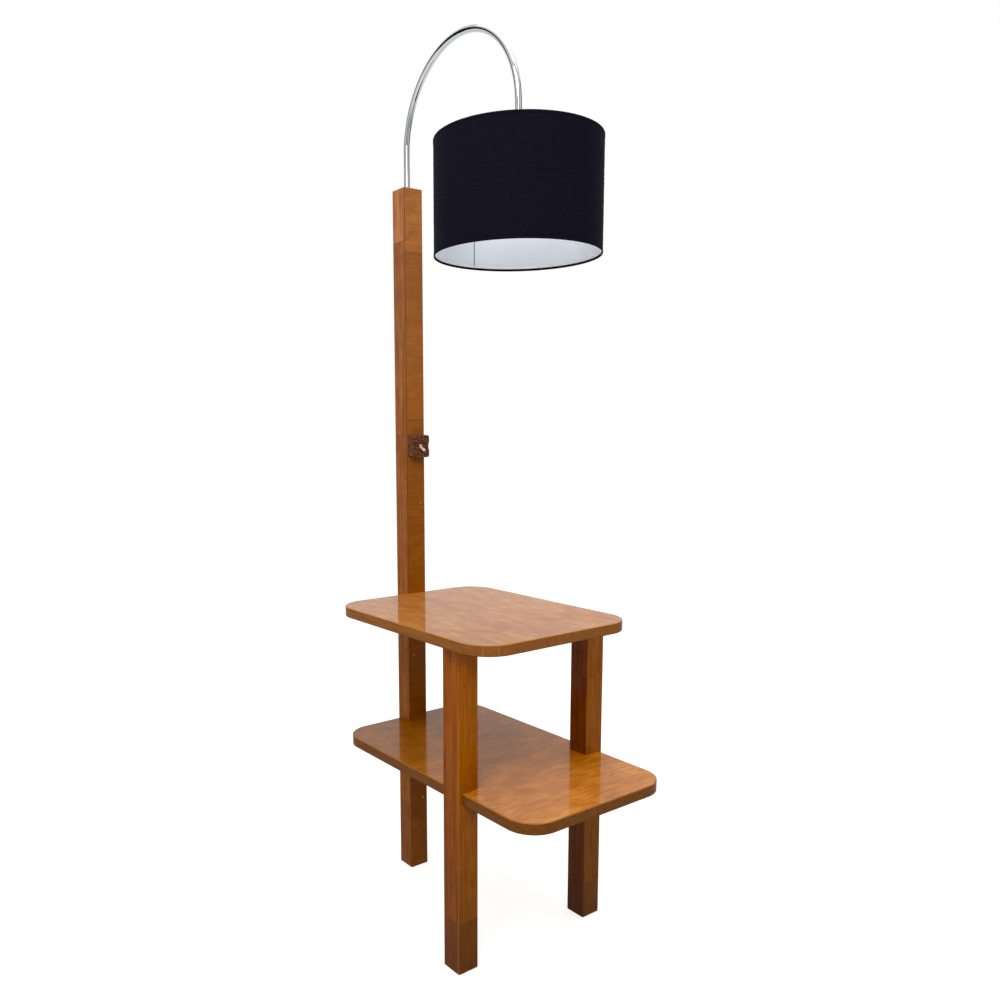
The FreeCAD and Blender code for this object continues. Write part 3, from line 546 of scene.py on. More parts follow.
@dataclass(frozen=True)
class Cloth:
    """Plain-woven cotton and linen: matt, with thicker weft yarns that show as level slubs."""

    name: str
    yarn: str
    gap: str
    pitch: float = 1.3                   # mm between yarns; real ones are finer and would not show
    slub: float = 34.0                   # mm, length of a thick place in a weft yarn
    slub_width: float = 0.8              # its width, in yarns
    slub_tone: float = 0.4
    nap: float = 0.1                     # weight of the loose fibres' sheen
    weave: float = 0.22                  # how much the weave shows beside the slubs
    weave_range: tuple[float, float] = (0.3, 0.75)   # the pattern's level in a gap, on a full yarn
    relief: float = 0.2                  # mm, depth of the weave
    relief_share: float = 0.5
    roughness: float = 0.9
    gleam: float = 0.06                  # specular level
    nap_spread: float = 0.5

    def build(self) -> Material:
        """Return the cloth's material."""
        material, add = new_material(self.name)
        unrolled = add("ShaderNodeUVMap", uv_map="unrolled")
        parts = add(SPLIT, {0: unrolled}).outputs
        waves = []
        for axis in (Along.X, Along.Y):
            turns = add(MATH, {0: parts[axis.value], 1: TURN / (self.pitch * MM)}, operation="MULTIPLY")
            waves.append(add(MATH, {0: turns}, operation="SINE"))
        crossed = add(MATH, dict(enumerate(waves)), operation="MULTIPLY")
        long = add(FIT, {"Vector": unrolled, "Scale": (
            1 / (self.slub * MM), 1 / (self.pitch * self.slub_width * MM), 1.0)})
        slubs = add(NOISE, {"Vector": long, "Scale": 1.0, "Detail": 3.0, "Roughness": 0.6})
        weave = add(MATH, {0: crossed, 1: self.weave, 2: slubs}, operation="MULTIPLY_ADD")
        tone = add(RANGE, {"Value": weave, "From Min": self.weave_range[0],
                           "From Max": self.weave_range[1], "To Max": self.slub_tone})
        colour = add(MIX, {0: tone, 6: linear(self.gap), 7: linear(self.yarn)}, data_type="RGBA")
        relief = add(BUMP, {"Strength": self.relief_share, "Distance": self.relief * MM, "Height": weave})
        add(OUTPUT, {0: add(SHADER, {
            "Base Color": colour, "Roughness": self.roughness, "Specular IOR Level": self.gleam,
            "Sheen Weight": self.nap, "Sheen Roughness": self.nap_spread,
            "Sheen Tint": linear(self.yarn), "Normal": relief})})
        return material


@dataclass(frozen=True)
class FrostedGlass:
    """Soda glass etched inside: pale, soft and see-through only at its edges."""

    name: str = "frosted_soda_glass"
    colour: str = "#F2F1EC"
    etch: float = 0.8                    # mm across one etched pit, coarser than real, or it would not show
    roughness: tuple[float, float] = (0.35, 0.55)
    clear: float = 0.25                  # share of light that goes through

    def build(self) -> Material:
        """Return the glass' material."""
        material, add = new_material(self.name)
        pits = add(NOISE, {"Vector": add(COORDS).outputs["Object"], "Scale": 1 / (self.etch * MM)})
        rough = add(RANGE, {"Value": pits, "To Min": self.roughness[0], "To Max": self.roughness[1]})
        add(OUTPUT, {0: add(SHADER, {
            "Base Color": linear(self.colour), "Roughness": rough, "IOR": 1.52,
            "Transmission Weight": self.clear})})
        return material


# ---- the table and its posts -------------------------------------------------------------------
@dataclass
class Table:
    """Two boards on three square posts."""

    top_seam: float = -20.0              # mm, the middle of the top, where its two leaves meet
    seam_left: tuple[float, float] = (449.0, -150.0)     # x of one seam on the round, drawn past this y
    seam_right: tuple[float, float] = (440.0, -158.0)    # y of the other, drawn past this x
    front_joints: tuple[float, ...] = (93.0,)
    right_joints: tuple[float, ...] = (65.0, 472.0)
    leg_arris_highlight: tuple[float, float] = (374.0, -169.4)     # x of the painted highlight along the front leg's arris, and y
    arris_inset: float = 0.5             # mm from a band's edge to the middle of its arris line
    painted_shade_depth: float = 480.0            # mm from the post, where the shelf's painted shade from the top ends
    painted_shade_height: float = 570.0           # mm above the floor, where the legs' painted shade ends
    # painted highlight for the bands' upper arrises, and painted shade for their lower ones
    painted_arris_highlight: str = "#BC8038"
    painted_arris_shade: str = "#4A2C0C"

    def build(self) -> None:
        """Dress the boards, their edges, the legs and the dowels."""
        # French-polished figured walnut: warm cloudy figure, opened like a book, deep under a soft gloss
        dress(Veneer("polished_figured_walnut_top", "#C88A46", "#AF6C2C", "#955418", Along.X, line=11.0,
                     figure=46.0, cloud=0.5, lines=0.1, hairs=0.8, joints=(self.top_seam,),
                     across=Along.Y, mirrored=True, gloss=0.52, haze=0.05, seed=1.3, leaves=(0.95, 1.04),
                     joint_tone=0.0).build(), "table_top")
        # the same finish, with painted shade from the top: darker and deeper in colour at its inner end
        dress(Veneer("polished_figured_walnut_shelf", "#CE8A3C", "#A8661E", "#854B10", Along.Y, line=7.0,
                     run=80.0, figure=56.0, cloud=0.5, lines=0.07, hairs=0.42, gloss=0.5, haze=0.1, seed=5.1,
                     drift=Drift(Along.X, 0.0, 0.62, self.painted_shade_depth, 1.4),
                     richness=Drift(Along.X, 0.0, 1.14, self.painted_shade_depth, 1.0)).build(), "lower_shelf")
        # walnut edge veneer with a thin polish: nearly matt, with a painted highlight along its upper arris
        # and painted shade along its lower
        edge: dict[str, Any] = {"line": 4.0, "figure": 22.0, "cloud": 0.2, "lines": 0.08, "hairs": 0.5,
                                "gloss": 0.1}
        line_marks = (SeamOrPaintedArris(Along.X, self.seam_left[0], Along.Y, self.seam_left[1], "#A87440", 0.8),
                 SeamOrPaintedArris(Along.Y, self.seam_right[1], Along.X, self.seam_right[0], "#A87440", 0.8))
        dress(Veneer("polished_walnut_edge_top", "#A6682A", "#8E5520", "#743F12", Along.X, seed=2.2,
                     line_marks=(*line_marks, *self._arrises("table_top_edge_band")), **edge).build(),
              "table_top_edge_band")
        dress(Veneer("polished_walnut_edge_shelf", "#90561A", "#74420E", "#5C3007", Along.X, haze=0.15,
                     seed=8.4, line_marks=self._arrises("lower_shelf_edge_band"), **edge).build(),
              "lower_shelf_edge_band")
        # straight-grained walnut with a dulled polish: satin, with painted shade making it darker and deeper
        # in colour towards the floor
        leg: dict[str, Any] = {
            "line": 3.0, "run": 420.0, "figure": 34.0, "lines": 0.09, "cloud": 0.34, "hairs": 0.6,
            "gloss": 0.1, "haze": 0.2, "joint_tone": 0.3,
            "drift": Drift(Along.Z, 0.0, 0.61, self.painted_shade_height, 1.31),
            "richness": Drift(Along.Z, 0.0, 1.3, self.painted_shade_height, 1.0)}
        # painted highlight along the front leg's arris
        painted_arris_highlight = SeamOrPaintedArris(Along.X, self.leg_arris_highlight[0], Along.Y, self.leg_arris_highlight[1], "#A8682C", 0.8)
        dress(Veneer("polished_walnut_front_leg", "#AA661C", "#94530F", "#743C08", Along.Z, seed=3.6,
                     cheek=0.86, cheek_lines=0.16, cheek_hue=0.492, scuffed=9.0, joints=self.front_joints,
                     leaves=(0.8, 1.02), line_marks=(painted_arris_highlight,), **leg).build(), "front_leg")
        # on the right leg, the faces that look along Y are darkened by their own leaf and by painted shade
        # under the table
        dress(Veneer("polished_walnut_right_leg", "#A6682A", "#8F541A", "#6E3C10", Along.Z, seed=7.9,
                     cheek=0.52, cheek_lines=0.12, cheek_hue=0.488, scuffed=6.0, joints=self.right_joints,
                     leaves=(0.86, 1.0, 1.04), **leg).build(), "right_leg")
        # turned beech, left raw: pale, even and dry
        dress(Veneer("plain_beech", "#E0BE94", "#CFA678", "#B98B5B", Along.Z, line=2.5, figure=14.0,
                     gloss=0.0, seed=4.4).build(), "table_top_dowels", "leg_head_dowels", "shelf_dowels")

    def _arrises(self, band: str) -> tuple[SeamOrPaintedArris, SeamOrPaintedArris]:
        """Return the painted highlight along a band's upper arris and the painted shade along its lower."""
        low, high = (corner[2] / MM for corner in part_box(band))
        below = low - 2 * self.arris_inset
        return (SeamOrPaintedArris(Along.Z, high - self.arris_inset, Along.Z, low, self.painted_arris_highlight, 0.8),
                SeamOrPaintedArris(Along.Z, low + self.arris_inset, Along.Z, below, self.painted_arris_shade, 1.0))


@dataclass
class TallPost:
    """The grooved post, the strip that closes it, and the strip's pins."""

    side_joints: tuple[float, ...] = (141.0, 911.0, 1281.0)
    face_joints: tuple[float, ...] = (177.0, 370.0, 747.0, 940.0, 1260.0)
    side_leaves: tuple[float, ...] = (0.8, 1.12, 1.16, 1.56)
    face_leaves: tuple[float, ...] = (0.8, 0.84, 0.95, 1.0, 1.25, 1.5)
    arris: tuple[float, float] = (-20.6, 17.0)           # y of the dark arris, drawn past this x
    paling_span: tuple[float, float] = (300.0, 1380.0)         # mm, between which the post grows less deep in colour upwards

    def build(self) -> None:
        """Dress the post, the strip on its face, the pins and what the groove holds."""
        worn: dict[str, Any] = {
            "cloud": 0.3, "gloss": 0.1, "haze": 0.2,
            "line_marks": (SeamOrPaintedArris(Along.Y, self.arris[0], Along.X, self.arris[1], "#5E3418", 0.7),),
            "richness": Drift(Along.Z, self.paling_span[0], 1.06, self.paling_span[1], 0.92)}
        # straight-grained walnut with a dulled polish: satin, paler leaf by leaf towards the lamp
        dress(Veneer("polished_walnut_post", "#AE6C36", "#935626", "#703C14", Along.Z, line=4.0, run=300.0,
                     figure=34.0, lines=0.14, hairs=0.6, joints=self.side_joints, seed=0.7,
                     leaves=self.side_leaves, scuffed=5.0, **worn).build(), "tall_post")
        # walnut laid with its grain across the strip: short level streaks, a shade warmer
        dress(Veneer("polished_cross_grain_walnut", "#AC6A1E", "#90520E", "#6C3A06", Along.Y, line=1.6,
                     run=70.0, figure=40.0, lines=0.05, hairs=0.3, joints=self.face_joints, seed=9.2,
                     leaves=self.face_leaves, **worn).build(), "channel_cover_strip")
        # drawn brass gone dull: small warm dots with no sparkle
        dress(Metal("dull_brass_wire", "#B8925C", 0.5, along=Along.X).build(), "channel_cover_pins")
        # black rubbery plastic: soft dark ring, no clear highlight
        dress(Moulded("moulded_black_bush", "#171412", "#221E1B", 3.0, 0.5, 0.45).build(), "cord_bush")
        # aged white sheath: slightly yellowed, half matt
        dress(Moulded("moulded_white_lead", "#D6D3C8", "#CBC6B8", 6.0, 0.4, 0.5).build(), "post_lead")


# ---- the tube, the lamp holder and the bulb -----------------------------------------------------
@dataclass
class Arch:
    """The bent tube in its socket, with its lead."""

    def build(self) -> None:
        """Dress the tube, the socket, the nipple and the lead."""
        # bright chrome on steel: a cold mirror with hard dark and white lines along the tube
        dress(Metal("bright_chrome_plate", "#C4C5C5", 0.05, marks=0.02, relief=0.01).build(), "arch_tube")
        # nickel: warmer and softer than the chrome beside it
        dress(Metal("nickel_plate", "#B9B6AE", 0.28).build(), "tube_socket", "holder_nipple")
        dress(Moulded("moulded_white_lead_upper", "#D6D3C8", "#CBC6B8", 6.0, 0.4, 0.5).build(), "arm_lead")


@dataclass
class LampHolder:
    """The lamp holder under the tube's end, its ribbed ring, and the bulb."""

    axis_x: float = 322.0                # mm from the post to the lamp's axis
    ring_radius: float = 22.4            # mm, the collar that fingers turn
    rib_radius: float = 0.55
    rib_low: float = 1317.5
    rib_high: float = 1321.5
    rib_count: int = 48
    rib_sides: int = 8

    def build(self) -> None:
        """Dress the holder and the bulb, and add the ring's ribs."""
        # black phenolic: brownish black with a polished mould skin
        black = Moulded("black_phenolic", "#191514", "#2A2321", 2.0, 0.4, 0.25, coat=0.4).build()
        dress(black, "holder_cap", "holder_body", "shade_ring")
        # glazed porcelain: creamy white with a wet shine
        dress(Moulded("glazed_porcelain", "#E6E2D8", "#DAD5C8", 7.0, 0.3, 0.12, coat=0.6).build(),
              "holder_insert")
        # rolled brass strip, bare: yellow, clean and softly mirrored
        dress(Metal("bare_brass_strip", "#C9A558", 0.25).build(), "holder_screw_shell",
              "holder_centre_contact")
        dress(FrostedGlass().build(), "bulb_glass")
        # rolled aluminium: grey and silky, with no colour of its own
        dress(Metal("rolled_aluminium", "#C4C5C7", 0.3).build(), "bulb_cap")
        self._ribs(black)

    def _ribs(self, material: Material) -> None:
        """Add upright ribs round the ring's collar, for the fingers' grip."""
        tree, add, given = new_tree("grip_ribs", {
            "Count": "Int", "Ring Radius": "Float", "Rib Radius": "Float", "Height": "Float",
            "Centre": "Vector"})
        share = add(MATH, {0: add("GeometryNodeInputIndex"), 1: given["Count"]}, operation="DIVIDE")
        angle = add(MATH, {0: share, 1: TURN}, operation="MULTIPLY")
        reach = []
        for kind in ("COSINE", "SINE"):
            wave = add(MATH, {0: angle}, operation=kind)
            reach.append(add(MATH, {0: wave, 1: given["Ring Radius"]}, operation="MULTIPLY"))
        moved = add("ShaderNodeVectorMath", {0: add(JOIN, dict(enumerate(reach))), 1: given["Centre"]},
                    operation="ADD")
        points = add("GeometryNodePoints", {"Count": given["Count"], "Position": moved})
        rib = add("GeometryNodeMeshCylinder", {
            "Vertices": self.rib_sides, "Radius": given["Rib Radius"], "Depth": given["Height"]})
        end_tree(add, add("GeometryNodeInstanceOnPoints", {"Points": points, "Instance": rib}), material)
        middle = (self.rib_low + self.rib_high) / 2
        piece = grow("shade_ring_ribs", tree, {
            "Count": self.rib_count, "Ring Radius": self.ring_radius * MM, "Rib Radius": self.rib_radius * MM,
            "Height": (self.rib_high - self.rib_low) * MM,
            "Centre": (self.axis_x * MM, 0.0, middle * MM)}, material)
        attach(piece, "arm")
        log.info("ring ribs: %d", self.rib_count)


# ---- the shade ---------------------------------------------------------------------------------
@dataclass
class Shade:
    """The drum shade: cloth on a stiff white lining, taped at both rims. Sizes are in mm."""

    axis: tuple[float, float] = (322.0, 0.0)
    radius: float = 140.0
    cloth: float = 0.6                   # thickness of the cloth with its glue
    cloth_sunk: float = 0.2              # by which the made cloth is thinner, to stay off the lining
    low: float = 1206.5
    high: float = 1390.5
    lining_inside: float = 138.9
    lining_lap: float = 0.45             # thickness of the lining's end where it overlaps
    tape: float = 0.3                    # thickness of the tape
    tape_out: float = 5.0                # how far the tape reaches outside the rim
    tape_in: float = 3.5
    tape_off: float = 0.05               # between the tape and what it is folded over
    seam_angle: float = 172.5            # degrees, where the lining's ends overlap
    seam_width: float = 1.5
    pull: float = 0.16                   # how far the stretched cloth stands off a true drum
    pull_waves: float = 2.2              # how fast that changes round the drum
    pull_height: float = 60.0            # over what height it changes
    slub_count: int = 520
    slub_radius: float = 0.22
    slub_sides: int = 5
    slub_steps: int = 9
    slub_sweep: float = 11.0             # degrees round the drum
    slub_margin: float = 2.0             # between the slubs and the tapes
    level_seed: int = 11
    turn_seed: int = 7
    steps: int = 192
    rows: int = 22

    def build(self) -> None:
        """Make the cloth, its slubs, the tapes and the lining's seam."""
        # slubbed linen dyed navy black: matt, with faint level streaks and a little nap
        cloth = Cloth("dark_slub_linen", "#201E30", "#090813", slub=9.0).build()
        # the same dye on finer bias tape: a closer, darker rim
        tape = Cloth("dark_bias_tape", "#1D1B2A", "#08080F", pitch=1.0, slub=6.0).build()
        # white laminate: cool, even and half matt, so that it spreads the light
        white = Moulded("white_laminate", "#F2F7FD", "#E8F0F8", 30.0, 0.4, 0.5).build()
        dress(white, "shade_lining")
        dress(cloth, "shade_fabric")
        dress(tape, "shade_trim_upper", "shade_trim_lower")
        # enamelled wire: white, a little grey and rounded by its paint
        dress(Metal("white_enamelled_wire", "#D9D9D6", 0.5).build(), "shade_carrier", "shade_bottom_ring")
        wall = self._wall(cloth)
        tapes = [self._tape("shade_tape_upper", self.high, -1, tape),
                 self._tape("shade_tape_lower", self.low, 1, tape)]
        slubs = self._slubs(cloth)
        # the lining's lap, with painted shade: a grey line where the laminate's ends overlap, for the shadow
        # along the lap's edge
        lap_shadow = Moulded("painted_lap_shadow_line", "#6E747C", "#7C828A", 4.0, 0.5, 0.6).build()
        seam = self._lining_seam(lap_shadow)
        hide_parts("shade_fabric")
        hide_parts("shade_trim_upper")
        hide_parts("shade_trim_lower")
        for piece, slot in ((wall, "shade_fabric"), (slubs, "shade_fabric"), (tapes[0], "shade_trim"),
                            (tapes[1], "shade_trim"), (seam, "shade_lining")):
            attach(piece, "arm")

    def _pull(self, angle: float, radius: float, height: float) -> float:
        """Return how far stretched cloth stands off the true drum, in mm."""
        where = Vector((math.cos(angle) * self.pull_waves, math.sin(angle) * self.pull_waves,
                        height / self.pull_height))
        return self.pull * noise.noise(where)

    def _wall(self, material: Material) -> Object:
        """Return the cloth as one closed sheet of real thickness."""
        z0, z1 = self.low + self.tape, self.high - self.tape
        levels = [z0 + (z1 - z0) * i / self.rows for i in range(self.rows + 1)]
        outside = [(self.radius, z) for z in levels]
        inside = [(self.radius - self.cloth + self.cloth_sunk, z) for z in reversed(levels)]
        return lathe("shade_cloth", outside + inside, self.axis, self.steps, material, self._pull)

    def _tape(self, name: str, rim: float, inward: int, material: Material) -> Object:
        """Return the tape that is folded over one rim; its folds and ends are rounded by shares of it."""
        t, out, inn = self.tape, self.radius + self.tape_off, self.lining_inside - self.tape_off
        long, short = self.tape_out, self.tape_in
        profile = ((out, t), (out, long), (out + t * 0.7, long), (out + t, long - t), (out + t, t),
                   (out + t * 0.6, t * 0.2), (out, 0.0), (inn, 0.0), (inn - t * 0.6, t * 0.2),
                   (inn - t, t), (inn - t, short - t), (inn - t * 0.5, short), (inn, short), (inn, t))
        return lathe(name, [(r, rim + inward * rise) for r, rise in profile], self.axis, self.steps, material)

    def _lining_seam(self, material: Material) -> Object:
        """Return the strip where one end of the lining laps over the other, painted grey for the shadow along
        its edge.
        """
        half = self.seam_width / 2 / self.lining_inside
        z0, z1 = self.low + self.tape_in, self.high - self.tape_in
        r = self.lining_inside
        lap = r - self.lining_lap
        return lathe("shade_lining_lap", [(r, z0), (lap, z0), (lap, z1), (r, z1)], self.axis, 2,
                     material, start=math.radians(self.seam_angle) - half, sweep=2 * half)

    def _slubs(self, material: Material) -> Object:
        """Scatter short thick places of level yarn over the cloth."""
        tree, add, given = new_tree("level_slubs", {
            "Count": "Int", "Radius": "Float", "Yarn": "Float", "Low": "Float", "High": "Float",
            "Axis X": "Float", "Seed": "Int"})
        level = add("FunctionNodeRandomValue", {2: given["Low"], 3: given["High"], "Seed": given["Seed"]},
                    data_type="FLOAT")
        place = add(JOIN, {0: given["Axis X"], 2: level})
        points = add("GeometryNodePoints", {"Count": given["Count"], "Position": place})
        shown = add("GeometryNodeSplineParameter").outputs["Factor"]
        half_turn = add(MATH, {0: shown, 1: math.pi}, operation="MULTIPLY")
        taper = add(MATH, {0: half_turn}, operation="SINE")
        thread = add("GeometryNodeCurvePrimitiveCircle", {
            "Resolution": self.slub_sides, "Radius": given["Yarn"]})
        arc = add("GeometryNodeCurveArc", {
            "Resolution": self.slub_steps, "Radius": given["Radius"], "Start Angle": 0.0,
            "Sweep Angle": math.radians(self.slub_sweep)})
        swept = add("GeometryNodeCurveToMesh", {"Curve": arc, "Profile Curve": thread, "Scale": taper})
        turn = add("FunctionNodeRandomValue", {2: 0.0, 3: TURN, "Seed": self.turn_seed}, data_type="FLOAT")
        rotation = add("FunctionNodeEulerToRotation", {0: add(JOIN, {2: turn})})
        end_tree(add, add("GeometryNodeInstanceOnPoints", {
            "Points": points, "Instance": swept, "Rotation": rotation}), material)
        margin = self.tape_out + self.slub_margin
        return grow("shade_slubs", tree, {
            "Count": self.slub_count, "Radius": self.radius * MM, "Yarn": self.slub_radius * MM,
            "Low": (self.low + margin) * MM, "High": (self.high - margin) * MM,
            "Axis X": self.axis[0] * MM, "Seed": self.level_seed}, material)


# ---- the switch --------------------------------------------------------------------------------
@dataclass
class Switch:
    """The two-lobed switch on the post, with slotted screws. Sizes are in mm."""

    level: float = 889.0
    screw_rise: float = 16.0
    face: float = 42.0                   # the lobes' front
    head: float = 2.8                    # radius of a screw's head
    head_depth: float = 1.6
    head_sides: int = 32
    slot: float = 0.8
    slot_depth: float = 0.9
    slot_reach: float = 3.0              # length of the slot's cutter, in head radii
    shank: float = 1.5                   # its radius
    shank_length: float = 19.4
    shank_sides: int = 24

    def build(self) -> None:
        """Dress the switch and add its slotted screw heads."""
        # mottled phenolic: dark red-brown with tan swirls, dull from handling
        brown = Moulded("mottled_brown_phenolic", "#3C1004", "#A06A44", 2.4, 0.85, 0.4, coat=0.04,
                        relief=0.6, gleam=0.08).build()
        dress(brown, "switch_base", "switch_cover")
        # urea moulding: pale pink, even and shiny
        dress(Moulded("pale_urea_lever", "#E3BFAE", "#D2A793", 3.0, 0.5, 0.3, coat=0.4).build(),
              "switch_toggle")
        # bare brass: yellow, slightly tarnished
        brass = Metal("bare_brass", "#B98F45", 0.3).build()
        dress(brass, "switch_toggle_contact", "switch_terminals", "switch_terminal_screws")
        # steel darkened by age: brown-grey, with a dim gleam at its edges
        steel = Metal("darkened_steel_screw", "#5C4A3E", 0.4, along=Along.X).build()
        dress(steel, "switch_cover_screws", "switch_fixing_screws", "switch_toggle_pin")
        # moulded insulation: flat brown
        dress(Moulded("brown_wire_sheath", "#4A2A1A", "#5A3422", 4.0, 0.4, 0.6).build(), "switch_wires")
        self._screws(steel)

    def _screws(self, material: Material) -> None:
        """Add the cover's two slotted screws, heads level with the lobes."""
        tree, add, given = new_tree("slotted_heads", {
            "Rise": "Float", "Radius": "Float", "Depth": "Float", "Slot": "Float", "Slot Depth": "Float",
            "Centre": "Vector", "Shank": "Float", "Length": "Float"})
        sign = add(MATH, {0: add("GeometryNodeInputIndex"), 1: 2.0, 2: -1.0}, operation="MULTIPLY_ADD")
        rise = add(MATH, {0: sign, 1: given["Rise"]}, operation="MULTIPLY")
        place = add("ShaderNodeVectorMath", {0: add(JOIN, {2: rise}), 1: given["Centre"]}, operation="ADD")
        points = add("GeometryNodePoints", {"Count": 2, "Position": place})
        head = add("GeometryNodeMeshCylinder", {
            "Vertices": self.head_sides, "Radius": given["Radius"], "Depth": given["Depth"]})
        wide = add(MATH, {0: given["Radius"], 1: self.slot_reach}, operation="MULTIPLY")
        deep = add(MATH, {0: given["Slot Depth"], 1: 2.0}, operation="MULTIPLY")
        blade = add("GeometryNodeMeshCube", {"Size": add(JOIN, {0: wide, 1: given["Slot"], 2: deep})})
        upper = add(MATH, {0: given["Depth"], 1: 0.5}, operation="MULTIPLY")
        raised = add("GeometryNodeTransform", {"Geometry": blade, "Translation": add(JOIN, {2: upper})})
        cut = add("GeometryNodeMeshBoolean", {0: head, 1: raised}, operation="DIFFERENCE")
        shank = add("GeometryNodeMeshCylinder", {
            "Vertices": self.shank_sides, "Radius": given["Shank"], "Depth": given["Length"]})
        both = add(MATH, {0: given["Depth"], 1: given["Length"]}, operation="ADD")
        down = add(MATH, {0: both, 1: -0.5}, operation="MULTIPLY")
        lowered = add("GeometryNodeTransform", {"Geometry": shank, "Translation": add(JOIN, {2: down})})
        joined = add("GeometryNodeJoinGeometry", {0: [cut, lowered]})
        rotation = add("FunctionNodeEulerToRotation", {0: (0.0, math.pi / 2, 0.0)})
        end_tree(add, add("GeometryNodeInstanceOnPoints", {
            "Points": points, "Instance": joined, "Rotation": rotation}), material)
        middle = self.face - self.head_depth / 2
        piece = grow("switch_slotted_screws", tree, {
            "Rise": self.screw_rise * MM, "Radius": self.head * MM, "Depth": self.head_depth * MM,
            "Slot": self.slot * MM, "Slot Depth": self.slot_depth * MM,
            "Centre": (middle * MM, 0.0, self.level * MM), "Shank": self.shank * MM,
            "Length": self.shank_length * MM}, material, smooth=False)
        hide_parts("switch_cover_screws")
        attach(piece, "stand")
        log.info("cover screws: 2")


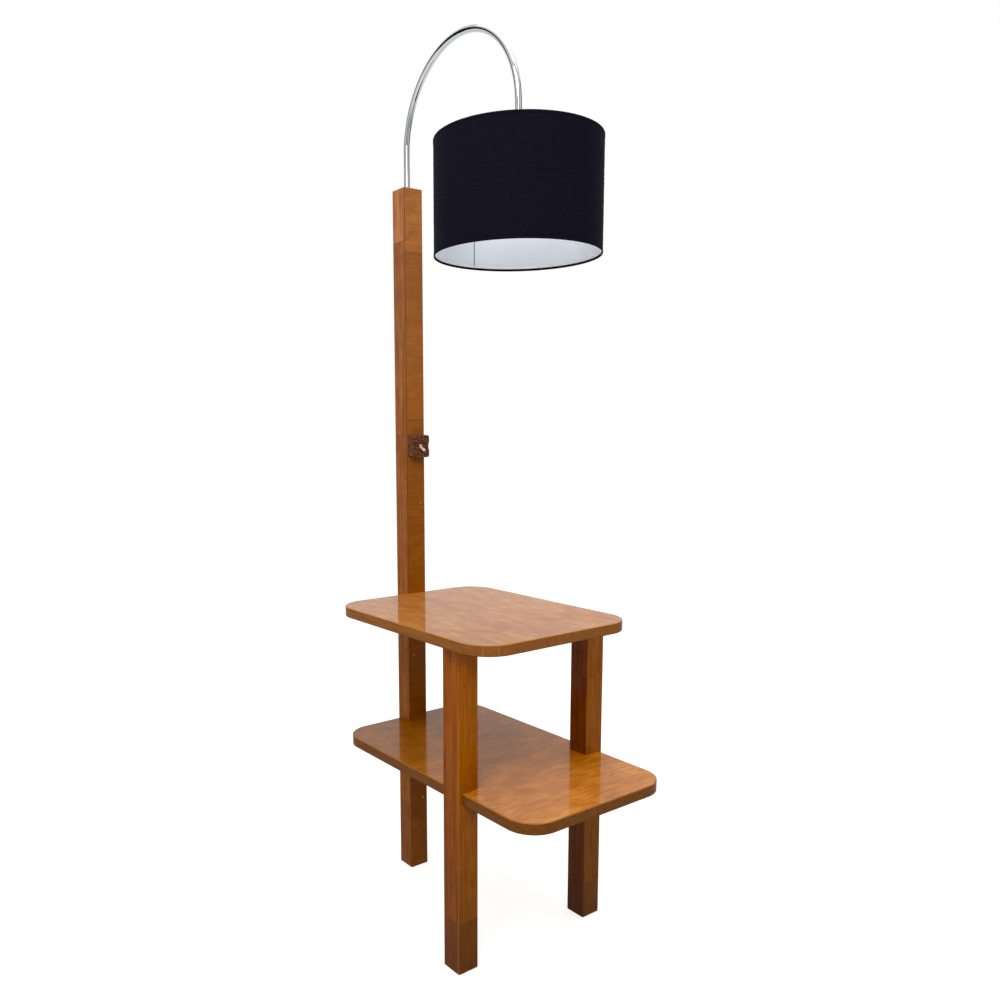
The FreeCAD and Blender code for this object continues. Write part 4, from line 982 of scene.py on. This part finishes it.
# ---- floor, light and camera --------------------------------------------------------------------
@dataclass
class Studio:
    """A pale floor, soft light and the photograph's camera."""

    focal: float = 873.57                # in picture widths of 1000
    yaw: float = 2.5101                  # radians, as are the next two
    pitch: float = 0.14014
    roll: float = -0.007156
    eye: Point = (1459.1, -1011.0, 918.9)                # mm
    centre: tuple[float, float] = (433.09, 554.07)       # where the lens' axis meets the picture
    picture: float = 1000.0
    sensor: float = 36.0
    near: float = 0.05                   # m, where the camera starts to see
    sky: float = 0.52
    floor_colour: str = "#C6C6C6"        # what the floor throws back on the object
    floor_white: float = 0.74            # what it adds to itself for the eye, so that it reads white
    floor_half: float = 30.0             # m
    floor_parts: int = 4
    lamps: tuple[tuple[str, Point, Point, float, float], ...] = (
        ("key", (1.55, -1.55, 2.5), (0.2, 0.0, 0.8), 1.6, 44.0),
        ("overhead", (0.3, 0.2, 3.3), (0.25, 0.0, 0.6), 2.2, 26.0))  # name, place, aim, size in m, watts
    cards: tuple[tuple[str, float, float], ...] = (
        ("card_far_left", -100.0, 0.9), ("card_left", -24.0, 0.85), ("card_right", 22.0, 0.7),
        ("card_far_right", 95.0, 1.1))   # name, degrees round the tube from the camera, width in m
    card_middle: Point = (0.16, 0.0, 1.9)
    card_distance: float = 2.2
    card_rise: float = 1.1
    card_colour: str = "#1C1E22"

    def build(self) -> None:
        """Set up the floor, the world, the lamps and the camera."""
        self._floor()
        self._world()
        for lamp in self.lamps:
            self._lamp(*lamp)
        self._cards()
        self._camera()
        bpy.context.scene.view_settings.view_transform = "Standard"

    def _seen(self, add: Add) -> Any:
        """Return 1 for what the camera sees straight, in a mirror or through glass."""
        path = add("ShaderNodeLightPath").outputs
        total: Any = path["Is Camera Ray"]
        for name in ("Is Glossy Ray", "Is Transmission Ray"):
            total = add(MATH, {0: total, 1: path[name]}, operation="MAXIMUM")
        return total

    def _floor(self) -> None:
        """Add a wide pale floor that keeps the object's shadow."""
        material, add = new_material("pale_studio_floor")
        matt = add("ShaderNodeBsdfDiffuse", {"Color": linear(self.floor_colour)})
        shown = add(MATH, {0: self._seen(add), 1: self.floor_white}, operation="MULTIPLY")
        glow = add("ShaderNodeEmission", {"Color": WHITE, "Strength": shown})
        add(OUTPUT, {0: add("ShaderNodeAddShader", {0: matt, 1: glow})})
        mesh = bmesh.new()
        bmesh.ops.create_grid(mesh, x_segments=self.floor_parts, y_segments=self.floor_parts,
                              size=self.floor_half)
        from_bmesh("floor", mesh, material)

    def _world(self) -> None:
        """Light the object softly and show white behind it."""
        world = bpy.data.worlds.new("studio")
        bpy.context.scene.world = world
        world.use_nodes = True
        world.node_tree.nodes.clear()
        add = partial(add_node, world.node_tree)
        strength = add(RANGE, {"Value": self._seen(add), "To Min": self.sky, "To Max": 1.0})
        background = add("ShaderNodeBackground", {"Color": WHITE, "Strength": strength})
        add("ShaderNodeOutputWorld", {0: background})

    def _lamp(self, name: str, place: Point, aim: Point, size: float, power: float) -> None:
        """Add a square soft lamp."""
        light = bpy.data.lights.new(name, "AREA")
        light.size = size
        light.energy = power
        lamp = bpy.data.objects.new(name, light)
        bpy.context.scene.collection.objects.link(lamp)
        lamp.location = place
        lamp.rotation_euler = (Vector(aim) - Vector(place)).to_track_quat("-Z", "Y").to_euler()

    def _cards(self) -> None:
        """Add dark cards round the set, seen only in mirrors, so that chrome has its dark lines."""
        material, add = new_material("dark_card")
        add(OUTPUT, {0: add("ShaderNodeBsdfDiffuse", {"Color": linear(self.card_colour)})})
        for name, degrees, width in self.cards:
            angle = self.yaw + math.pi + math.radians(degrees)
            away = Vector((math.cos(angle), math.sin(angle), 0.0))
            beside = Vector((-away.y, away.x, 0.0))
            middle = Vector(self.card_middle) + away * self.card_distance
            mesh = bmesh.new()
            corners = [middle + beside * (a * width / 2) + Vector((0, 0, b * self.card_rise))
                       for a, b in ((-1, -1), (1, -1), (1, 1), (-1, 1))]
            mesh.faces.new([mesh.verts.new(c) for c in corners])
            card = from_bmesh(name, mesh, material)
            card.visible_camera = False
            card.visible_diffuse = False
            card.visible_shadow = False
            card.visible_transmission = False

    def _camera(self) -> None:
        """Place the camera that was solved from the picture's edges."""
        flat = math.cos(self.pitch)
        look = Vector((math.cos(self.yaw) * flat, math.sin(self.yaw) * flat, -math.sin(self.pitch)))
        level = Vector((math.sin(self.yaw), -math.cos(self.yaw), 0.0))
        up = level.cross(look)
        right = level * math.cos(self.roll) + up * math.sin(self.roll)
        up = up * math.cos(self.roll) - level * math.sin(self.roll)
        data = bpy.data.cameras.new("view")
        data.sensor_width = self.sensor
        data.lens = self.sensor * self.focal / self.picture
        data.shift_x = (self.picture / 2 - self.centre[0]) / self.picture
        data.shift_y = (self.centre[1] - self.picture / 2) / self.picture
        data.clip_start = self.near
        camera = bpy.data.objects.new("view", data)
        bpy.context.scene.collection.objects.link(camera)
        columns = Matrix((right, up, -look)).transposed().to_4x4()
        columns.translation = Vector(self.eye) * MM
        camera.matrix_world = columns
        bpy.context.scene.camera = camera


def main() -> None:
    """Build every sub-assembly and the studio."""
    logging.basicConfig(level=logging.INFO, format="%(message)s")
    for part in (Table(), TallPost(), Arch(), LampHolder(), Shade(), Switch()):
        part.build()
        log.info("%s: done", type(part).__name__)
    Studio().build()


if __name__ == "__main__":
    main()
